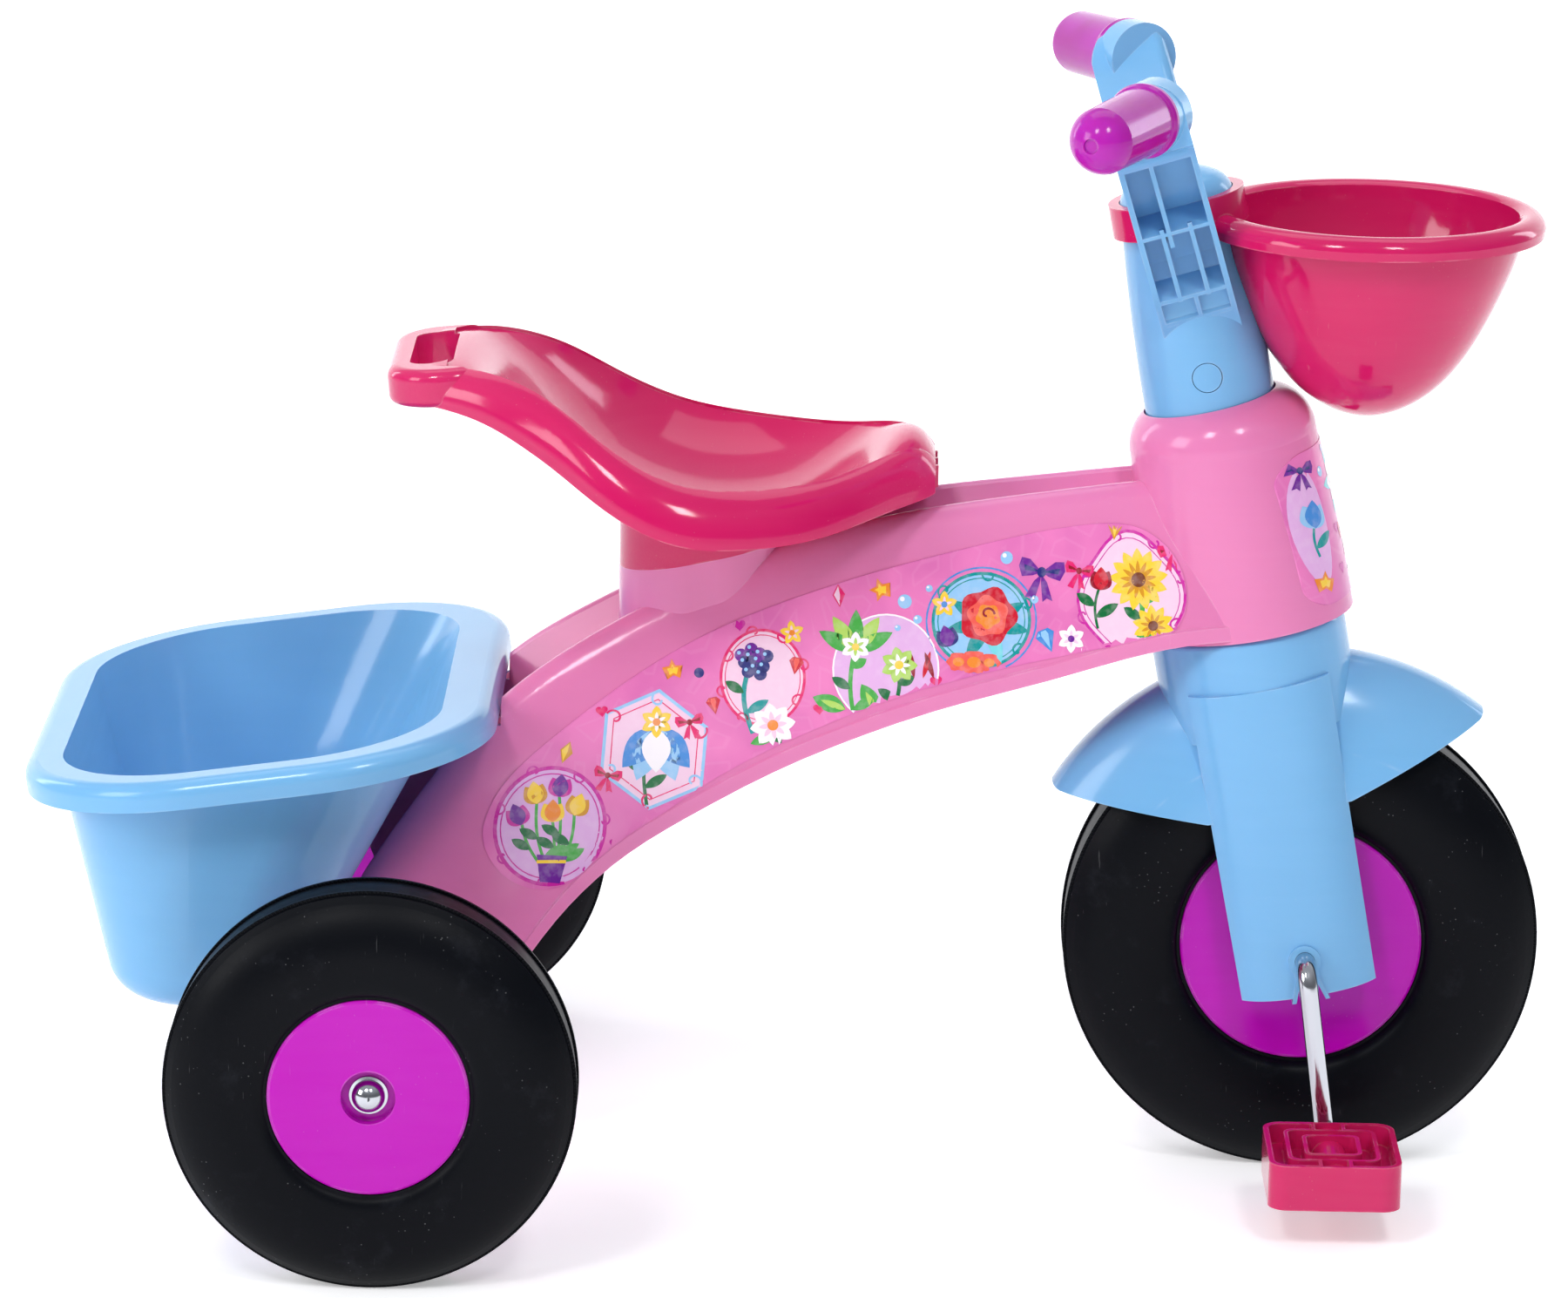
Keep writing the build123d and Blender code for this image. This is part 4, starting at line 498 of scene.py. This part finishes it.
def side_print():
    """The band of six framed bouquets, with bows, gems, stars and bubbles between them."""
    p = Print()
    X = 237.0
    # oval medallion with a tall bunch of yellow and purple tulips
    c = (X - 347, 168)
    ring_frame(p, c, 25, 28, "lilac", "magenta", curls=7, angle=-8)
    for dx, dz, bend, ink, shade in ((-6, 13, -3, "sun", "gold"), (4, 16, 2, "plum", "magenta"),
                                     (11, 7, 3, "sun", "gold"), (-13, 3, -3, "plum", "magenta"),
                                     (1, 4, 1, "orange", "sun")):
        p.stem((c[0] + 1, c[1] - 25), (c[0] + dx, c[1] + dz), bend, "leaf", 1.4, 3, 2)
        p.tulip((c[0] + dx, c[1] + dz - 2), 11, ink, shade, -dx * 1.6, 5)
    p.cut(turned([(-7, 0), (7, 0), (4.6, -13), (-4.6, -13)], -4, (c[0] + 1, c[1] - 14)), "plum", 8)
    p.stroke([(c[0] - 6, c[1] - 17), (c[0] + 7.4, c[1] - 17)], 1.6, "sun", 9)
    p.kite((X - 340, 203), 5.4, "gold", "sun", -20)
    # six-sided frame with a large blue bell flower
    c = (X - 300, 204)
    hexagon = turned([(26 * math.cos(math.radians(a)), 28 * math.sin(math.radians(a))) for a in range(0, 360, 60)],
                     24, c)
    p.cut(hexagon, "pale", 1)
    p.stroke(hexagon, 1.7, "sky", 2, closed=True)
    p.stroke(turned([(22 * math.cos(math.radians(a)), 24 * math.sin(math.radians(a))) for a in range(0, 360, 60)],
                    24, c), 0.6, "rose", 2, closed=True)
    for i, (hx, hz) in enumerate(hexagon):
        p.curl((hx, hz), 4.2, 30 + 60 * i, "sky" if i % 2 else "rose", 3, 1.0, 1 if i % 2 else -1)
    p.stem((c[0] - 3, c[1] - 26), (c[0] - 2, c[1] + 6), -2, "dark_leaf", 1.6, 3, 3)
    for lean, ink, grow in ((-40, "blue", 0.92), (40, "blue", 0.92), (-20, "sky", 1.0), (20, "sky", 1.0),
                            (0, "white", 0.8)):
        p.cut(turned(petal(26 * grow, 13, 1.0), 180 + lean, (c[0] + 1, c[1] + 10)), ink, 5 + (lean == 0))
    p.flower((c[0] + 1, c[1] + 13), 7.5, 6, "sun", "orange", 7, second="white")
    p.bow((X - 284, 217), 0.72, "rose", "ruby", 10)
    p.bow((X - 321, 192), 0.72, "rose", "ruby", -14)
    p.star((X - 292, 241), 5.0)
    # curled ring with dark berries and a white water flower
    c = (X - 251, 238)
    ring_frame(p, c, 19, 22, "pale", "rose", curls=8, angle=4, width=1.3)
    p.stem((c[0] - 4, c[1] - 26), (c[0] - 3, c[1] + 12), -5, "teal", 2.2, 3, 3)
    for i in range(11):
        a = math.radians(i * 137.5)
        r = 2.1 * math.sqrt(i + 0.6)
        p.cut(turned(round_shape(3.0, 3.0, 14), 0, (c[0] - 4 + r * math.cos(a), c[1] + 8 + r * math.sin(a))),
              "navy" if i % 3 else "plum", 5)
        p.cut(turned(round_shape(0.9, 0.9, 8), 0, (c[0] - 5 + r * math.cos(a), c[1] + 9 + r * math.sin(a))),
              "sky", 6)
    p.flower((X - 246, 216), 10.5, 8, "white", "orange", 6, 10)
    p.cut(turned(petal(13, 5), -118, (X - 250, 214)), "dark_leaf", 5)
    p.cut(turned(petal(13, 5), 112, (X - 244, 212)), "leaf", 5)
    p.gem((X - 273, 225), 5.4, "red", "coral", 12)
    p.gem((X - 236, 244), 5.4, "red", "coral", -8)
    p.flower((X - 238, 259), 5.6, 5, "sun", "orange", 6, 8)
    p.cut(turned(round_shape(2.3, 2.3, 14), 0, (X - 280, 240)), "navy", 5)
    # lilac roundel with a green lily
    c = (X - 201, 241)
    p.cut(turned(round_shape(24, 25), 0, (c[0] + 6, c[1] + 2)), "lilac", 1)
    p.stroke(turned(round_shape(24, 25), 0, (c[0] + 6, c[1] + 2)), 0.8, "white", 2, closed=True)
    p.stem((c[0] - 6, c[1] - 27), (c[0] - 8, c[1] + 12), -3, "leaf", 2.0, 3, 3)
    p.stem((c[0] + 2, c[1] - 27), (c[0] + 12, c[1] + 2), 4, "dark_leaf", 1.8, 3, 3)
    for lean in (-62, -34, 0, 34, 62):
        p.cut(turned(petal(19, 7.2, 0.6), lean, (c[0] - 8, c[1] + 10)), "lime" if lean % 62 else "leaf", 5)
    p.flower((c[0] - 8, c[1] + 12), 7.0, 6, "white", "sun", 7, second="lime")
    p.flower((c[0] + 12, c[1] + 4), 8.5, 7, "lime", "sun", 6, 12, second="white")
    for spot, lean in (((c[0] + 9, c[1] - 17), -70), ((c[0] + 3, c[1] - 19), 30), ((c[0] - 12, c[1] - 17), 70)):
        p.cut(turned(petal(16, 8, 0.4), lean, spot), "leaf", 5)
        p.cut(turned(petal(12, 3, 0.4), lean, spot), "lime", 6)
    p.star((X - 198, 279), 5.4, angle=20)
    p.kite((X - 217, 276), 5.2, "rose", "pale", 6)
    # sky blue arch with a coral rose and teal leaves
    c = (X - 152, 266)
    ring_frame(p, c, 22, 21, "sky", "teal", curls=6, angle=10, width=1.4)
    p.stroke(turned(round_shape(25, 23.5), 10, c), 0.8, "blue", 2, closed=True)
    for lean in (-100, -60, 60, 100, 150, 200):
        p.cut(turned(petal(19, 6.4, 0.4), lean, (c[0] + 3, c[1] - 1)), "teal" if lean % 40 else "aqua", 4)
    for i in range(3):
        r = 12.5 - 3.6 * i
        p.cut(turned(round_shape(r, r, 40, 0.10, 5), 26 * i, (c[0] + 3, c[1] + 2)), ("red", "coral", "orange")[i],
              6 + i)
    p.curl((c[0] + 6, c[1] + 3), 3.4, 0, "ruby", 9, 1.0)
    p.tulip((c[0] - 14, c[1] - 12), 10, "plum", "navy", 18, 7)
    p.flower((c[0] - 17, c[1] + 7), 6.0, 5, "sun", "blue", 7)
    for dx, lean in ((-30, 10), (-26, -14), (-21, 20)):
        p.cut(turned(petal(13, 2.6), lean, (c[0] + dx, c[1] - 27)), "ruby" if lean > 0 else "red", 5)
    for dx, r in ((-10, 5.2), (-3, 6.4), (4, 5.0)):
        p.cut(turned(round_shape(r, r * 0.8, 20, 0.12, 6), 0, (c[0] + dx, c[1] - 19)), "coral", 5)
        p.cut(turned(round_shape(r * 0.5, r * 0.4, 12), 0, (c[0] + dx, c[1] - 19)), "orange", 6)
    p.bubbles([(X - 141, 294, 2.8), (X - 187, 274, 3.2), (X - 181, 266, 2.0), (X - 176, 280, 1.6),
               (X - 128, 276, 1.8), (X - 190, 262, 1.4)])
    # small cream flowers, blue gem, purple bow
    p.gem((X - 122, 258), 7.2, "blue", "sky", 24)
    p.flower((X - 111, 259), 6.4, 6, "white", "plum", 6)
    p.flower((X - 105, 252), 4.4, 5, "white", "sun", 6)
    p.bow((X - 125, 288), 1.15, "plum", "navy", -6)
    # ornate magenta frame with a sunflower
    c = (X - 84, 278)
    ring_frame(p, c, 23, 27, "pale", "magenta", wave=0.06, lobes=4, curls=8, angle=6, width=1.3)
    p.stem((c[0] + 1, c[1] - 25), (c[0] + 3, c[1] + 6), 3, "leaf", 2.2, 3, 3)
    p.flower((c[0] + 3, c[1] + 8), 13.5, 13, "sun", "brown", 5, 4, 0.42, "gold")
    p.flower((c[0] + 10, c[1] - 12), 9.5, 10, "sun", "brown", 5, 8, 0.45, "gold")
    p.stem((c[0] - 15, c[1] - 14), (c[0] - 14, c[1] + 6), -2, "dark_leaf", 1.2, 3, 2)
    p.tulip((c[0] - 14, c[1] + 3), 10, "red", "ruby", 0, 6)
    p.bow((X - 66, 298), 0.72, "rose", "ruby", 8)
    p.bow((X - 108, 289), 0.72, "rose", "ruby", -10)
    p.gem((X - 92, 307), 5.6, "gold", "sun", -4)
    # small hearts that fill the gaps of the band
    for x, z, ink in ((-324, 222, "rose"), (-317, 160, "magenta"), (-262, 262, "magenta"), (-225, 224, "rose"),
                      (-172, 238, "rose"), (-58, 262, "rose"), (-57, 284, "magenta"), (-128, 240, "magenta")):
        p.heart((X + x, z), 2.8, ink, 5, 6)
    return p


def head_print():
    """Bow, bell flower and star down each half of the head's sticker."""
    p = Print()
    for side in (1, -1):
        y = side * 31.0
        p.cut(turned(round_shape(8.5, 27, 30), 0, (y, 310)), "lilac", 1)
        p.bow((y, 336), 0.82, "plum", "navy", side * 4)
        p.stem((y, 296), (y - side * 1, 312), 1.5 * side, "teal", 1.2, 3, 1)
        p.tulip((y - side * 1, 309), 13, "blue", "sky", side * 6, 5)
        p.star((y, 284), 5.4, angle=side * 10)
    p.flower((0, 326), 12, 8, "white", "orange", 5)
    for turn in range(0, 360, 60):
        p.cut(turned(petal(17, 6), turn + 30, (0, 326)), "aqua", 3)
    p.bow((0, 302), 1.1, "rose", "ruby")
    for x, z in ((-13, 306), (13, 306), (-16, 288), (16, 288), (0, 284)):
        p.heart((x, z), 3.0, "magenta", 5)
    p.bubbles([(-18, 333, 2.4), (18, 333, 2.4), (-9, 342, 1.6), (9, 342, 1.6)])
    return p


side_art = side_print()
side_art.lay("side_print_right", NODES["side_sticker_right"], "frame", "y", -1)
side_art.lay("side_print_left", NODES["side_sticker_left"], "frame", "y", 1)
head_print().lay("head_print", NODES["head_sticker"], "frame", "x", 1)


# ---------------------------------------------------------------- tread serrations by Geometry Nodes
def tread_tree():
    """Short teeth round a wheel, on both of its ribs, all inside the tyre's outer radius."""
    t = bpy.data.node_groups.new("tread teeth", "GeometryNodeTree")
    for name, kind, value in (("Teeth", "Int", 120), ("Radius", "Float", 0.1), ("Rib spacing", "Float", 0.02),
                              ("Tooth length", "Float", 0.002), ("Tooth height", "Float", 0.0008),
                              ("Tooth thickness", "Float", 0.0012), ("Centre", "Vector", None),
                              ("Finish", "Material", None)):
        s = t.interface.new_socket(name, in_out="INPUT", socket_type="NodeSocket" + kind)
        if value is not None:
            s.default_value = value
    t.interface.new_socket("Geometry", in_out="OUTPUT", socket_type="NodeSocketGeometry")
    gi, go = t.nodes.new("NodeGroupInput"), t.nodes.new("NodeGroupOutput")
    link = t.links.new

    def vector(x, y, z):
        v = t.nodes.new("ShaderNodeCombineXYZ")
        for i, value in enumerate((x, y, z)):
            if isinstance(value, bpy.types.NodeSocket):
                link(value, v.inputs[i])
            else:
                v.inputs[i].default_value = value
        return v.outputs[0]

    tooth = t.nodes.new("GeometryNodeMeshCube")
    link(vector(gi.outputs["Tooth thickness"], gi.outputs["Tooth length"], gi.outputs["Tooth height"]),
         tooth.inputs["Size"])
    lifted = t.nodes.new("GeometryNodeTransform")
    link(tooth.outputs["Mesh"], lifted.inputs["Geometry"])
    half = maths(t, "MULTIPLY", gi.outputs["Tooth height"], -0.5)
    link(vector(0.0, 0.0, half), lifted.inputs["Translation"])
    line = t.nodes.new("GeometryNodeMeshLine")
    link(gi.outputs["Teeth"], line.inputs["Count"])
    line.inputs["Offset"].default_value = (0.0, 0.0, 0.0)
    index = t.nodes.new("GeometryNodeInputIndex").outputs[0]
    turn = maths(t, "MULTIPLY", maths(t, "DIVIDE", index, gi.outputs["Teeth"]), math.tau)
    place = vector(maths(t, "MULTIPLY", maths(t, "SINE", turn), gi.outputs["Radius"]), 0.0,
                   maths(t, "MULTIPLY", maths(t, "COSINE", turn), gi.outputs["Radius"]))
    spread = t.nodes.new("GeometryNodeSetPosition")
    link(line.outputs["Mesh"], spread.inputs["Geometry"])
    link(place, spread.inputs["Position"])
    put_teeth = t.nodes.new("GeometryNodeInstanceOnPoints")
    link(spread.outputs[0], put_teeth.inputs["Points"])
    link(lifted.outputs[0], put_teeth.inputs["Instance"])
    link(vector(0.0, turn, 0.0), put_teeth.inputs["Rotation"])
    join = t.nodes.new("GeometryNodeJoinGeometry")
    for side in (1, -1):
        moved = t.nodes.new("GeometryNodeTransform")
        link(put_teeth.outputs[0], moved.inputs["Geometry"])
        offset = vector(0.0, maths(t, "MULTIPLY", gi.outputs["Rib spacing"], side), 0.0)
        total = t.nodes.new("ShaderNodeVectorMath")
        link(offset, total.inputs[0])
        link(gi.outputs["Centre"], total.inputs[1])
        link(total.outputs[0], moved.inputs["Translation"])
        link(moved.outputs[0], join.inputs[0])
    real = t.nodes.new("GeometryNodeRealizeInstances")
    link(join.outputs[0], real.inputs[0])
    finish = t.nodes.new("GeometryNodeSetMaterial")
    link(real.outputs[0], finish.inputs["Geometry"])
    link(gi.outputs["Finish"], finish.inputs["Material"])
    link(finish.outputs[0], go.inputs[0])
    return t


TREAD = tread_tree()


def grown(name, tree, inputs, body):
    """Runs a Geometry Nodes tree with its named inputs and keeps the result as a plain mesh on a body."""
    holder = bpy.data.objects.new(name + "_maker", bpy.data.meshes.new(name + "_maker"))
    bpy.context.scene.collection.objects.link(holder)
    modifier = holder.modifiers.new("grow", "NODES")
    modifier.node_group = tree
    keys = {i.name: i.identifier for i in tree.interface.items_tree if i.in_out == "INPUT"}
    for key, value in inputs.items():
        modifier[keys[key]] = value
    view = bpy.context.evaluated_depsgraph_get()
    mesh = bpy.data.meshes.new_from_object(holder.evaluated_get(view), preserve_all_data_layers=True,
                                           depsgraph=view)
    mesh.name = name
    piece = bpy.data.objects.new(name, mesh)
    bpy.data.objects.remove(holder)
    bpy.context.scene.collection.objects.link(piece)
    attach(piece, body)
    return piece


# tyre: its body, how many teeth each rib has, and how far the ribs are from the tyre's middle plane
WHEELS = {
    "front_tyre": ("front_wheel", 380, 0.0138), "rear_tyre_left": ("rear_wheel_left", 316, 0.0103),
    "rear_tyre_right": ("rear_wheel_right", 316, 0.0103),
}
TOOTH_DROP = 0.0003       # the teeth end this far inside the tyre's outer radius
for tyre, (body, teeth, spacing) in WHEELS.items():
    low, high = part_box(tyre)
    centre = (low + high) / 2
    grown(tyre + "_teeth", TREAD, {
        "Teeth": teeth, "Radius": (high.z - low.z) / 2 - TOOTH_DROP, "Rib spacing": spacing,
        "Tooth length": 0.0028, "Tooth height": 0.0014, "Tooth thickness": 0.0008,
        "Centre": tuple(centre), "Finish": FINISHES["tyre"],
    }, body)


# ---------------------------------------------------------------- floor, light and camera
def studio():
    """A wide pale floor that curves up far behind."""
    floor = bpy.data.meshes.new("floor")
    front_edge, bend_at, bend_radius, wall_top, half_width = -14.0, 9.0, 1.5, 8.0, 13.0
    rows = [(front_edge, 0.0), (bend_at, 0.0)]
    for i in range(1, 13):
        a = math.radians(90 * i / 12)
        rows.append((bend_at + bend_radius * math.sin(a), bend_radius * (1 - math.cos(a))))
    rows.append((bend_at + bend_radius, wall_top))
    points, faces = [], []
    for y, z in rows:
        points += [(-half_width, y, z), (half_width, y, z)]
    for i in range(len(rows) - 1):
        faces.append((2 * i, 2 * i + 1, 2 * i + 3, 2 * i + 2))
    floor.from_pydata(points, [], faces)
    for face in floor.polygons:
        face.use_smooth = True
    sweep = bpy.data.objects.new("floor", floor)
    bpy.context.scene.collection.objects.link(sweep)
    paper = bpy.data.materials.new("white paper sweep")
    paper.use_nodes = True
    t = paper.node_tree
    shader = t.nodes["Principled BSDF"]
    where = put(t, "ShaderNodeTexCoord").outputs["Object"]
    tooth = put(t, "ShaderNodeTexNoise", Vector=where, Scale=220.0, Detail=3.0).outputs[0]
    t.links.new(mix(t, tooth, (0.90, 0.90, 0.91, 1), (0.94, 0.94, 0.95, 1)), shader.inputs["Base Color"])
    shader.inputs["Roughness"].default_value = 0.75
    shader.inputs["Emission Color"].default_value = (1.0, 1.0, 1.0, 1.0)
    # the far end of the paper is further from the boxes, so it gets more light of its own
    behind = ramp(t, put(t, "ShaderNodeSeparateXYZ", Vector=where).outputs["Y"], 0.6, 4.0)
    distance = put(t, "ShaderNodeVectorMath", operation="LENGTH")
    t.links.new(where, distance.inputs[0])
    far = maths(t, "MAXIMUM", behind, ramp(t, distance.outputs["Value"], 3.5, 6.5))
    near_glow, extra_far_glow = 0.36, 0.45
    t.links.new(maths(t, "ADD", maths(t, "MULTIPLY", far, extra_far_glow), near_glow),
                shader.inputs["Emission Strength"])
    floor.materials.append(paper)


def soft_box(name, place, aim, wide, high, power, colour=(1, 1, 1)):
    light = bpy.data.lights.new(name, "AREA")
    light.shape = "RECTANGLE"
    light.size, light.size_y = wide, high
    light.energy = power
    light.color = colour
    lamp = bpy.data.objects.new(name, light)
    lamp.location = place
    lamp.rotation_euler = (Vector(aim) - Vector(place)).to_track_quat("-Z", "Y").to_euler()
    bpy.context.scene.collection.objects.link(lamp)


studio()
AIM = (0.0, 0.0, 0.25)
soft_box("box left", (-0.9, -1.9, 2.3), AIM, 0.42, 0.60, 19)
soft_box("box right", (0.75, -1.9, 2.4), AIM, 0.42, 0.60, 19)
soft_box("box top", (0.0, 0.8, 2.9), AIM, 2.4, 1.4, 15)
soft_box("fill left", (-2.7, -1.5, 1.5), (-0.25, 0.0, 0.18), 1.3, 1.3, 36)
soft_box("strip back left", (-2.4, 1.6, 1.2), AIM, 0.5, 1.6, 12, (0.86, 0.92, 1.0))
soft_box("strip back right", (2.4, 1.6, 1.2), AIM, 0.5, 1.6, 12, (0.86, 0.92, 1.0))

world = bpy.data.worlds.new("studio air")
bpy.context.scene.world = world
world.use_nodes = True
# bright room overhead and behind, dim towards the side the tricycle is looked at from
air = world.node_tree
toward = put(air, "ShaderNodeSeparateXYZ", Vector=put(air, "ShaderNodeTexCoord").outputs["Generated"])
overhead = ramp(air, toward.outputs["Z"], 0.15, 0.85)
behind = ramp(air, toward.outputs["Y"], -0.25, 0.7)
share = maths(air, "ADD", maths(air, "MULTIPLY", overhead, 0.75), maths(air, "MULTIPLY", behind, 0.5), clamp=True)
air.links.new(mix(air, share, (0.24, 0.25, 0.27, 1), (0.84, 0.87, 0.93, 1)),
              air.nodes["Background"].inputs["Color"])
air.nodes["Background"].inputs["Strength"].default_value = 0.66


def place_camera():
    aim, distance = Vector((-0.0047, 0.0, 0.2402)), 3.264
    round_angle, height_angle, roll = (math.radians(v) for v in (0.225, 14.245, 1.004))
    back = Vector((math.sin(round_angle) * math.cos(height_angle), -math.cos(round_angle) * math.cos(height_angle),
                   math.sin(height_angle)))
    right = Vector((math.cos(round_angle), math.sin(round_angle), 0.0))
    up = back.cross(right)
    right_rolled = right * math.cos(roll) + up * math.sin(roll)
    up_rolled = up * math.cos(roll) - right * math.sin(roll)
    data = bpy.data.cameras.new("camera")
    data.sensor_fit = "HORIZONTAL"
    data.sensor_width = 36.0
    data.lens = 162.3
    data.clip_start, data.clip_end = 0.1, 40.0
    camera = bpy.data.objects.new("camera", data)
    turn = Matrix((right_rolled, up_rolled, back)).transposed()
    camera.matrix_world = Matrix.Translation(aim + back * distance) @ turn.to_4x4()
    bpy.context.scene.collection.objects.link(camera)
    bpy.context.scene.camera = camera


place_camera()
bpy.context.scene.view_settings.view_transform = "Standard"
bpy.context.scene.view_settings.look = "None"
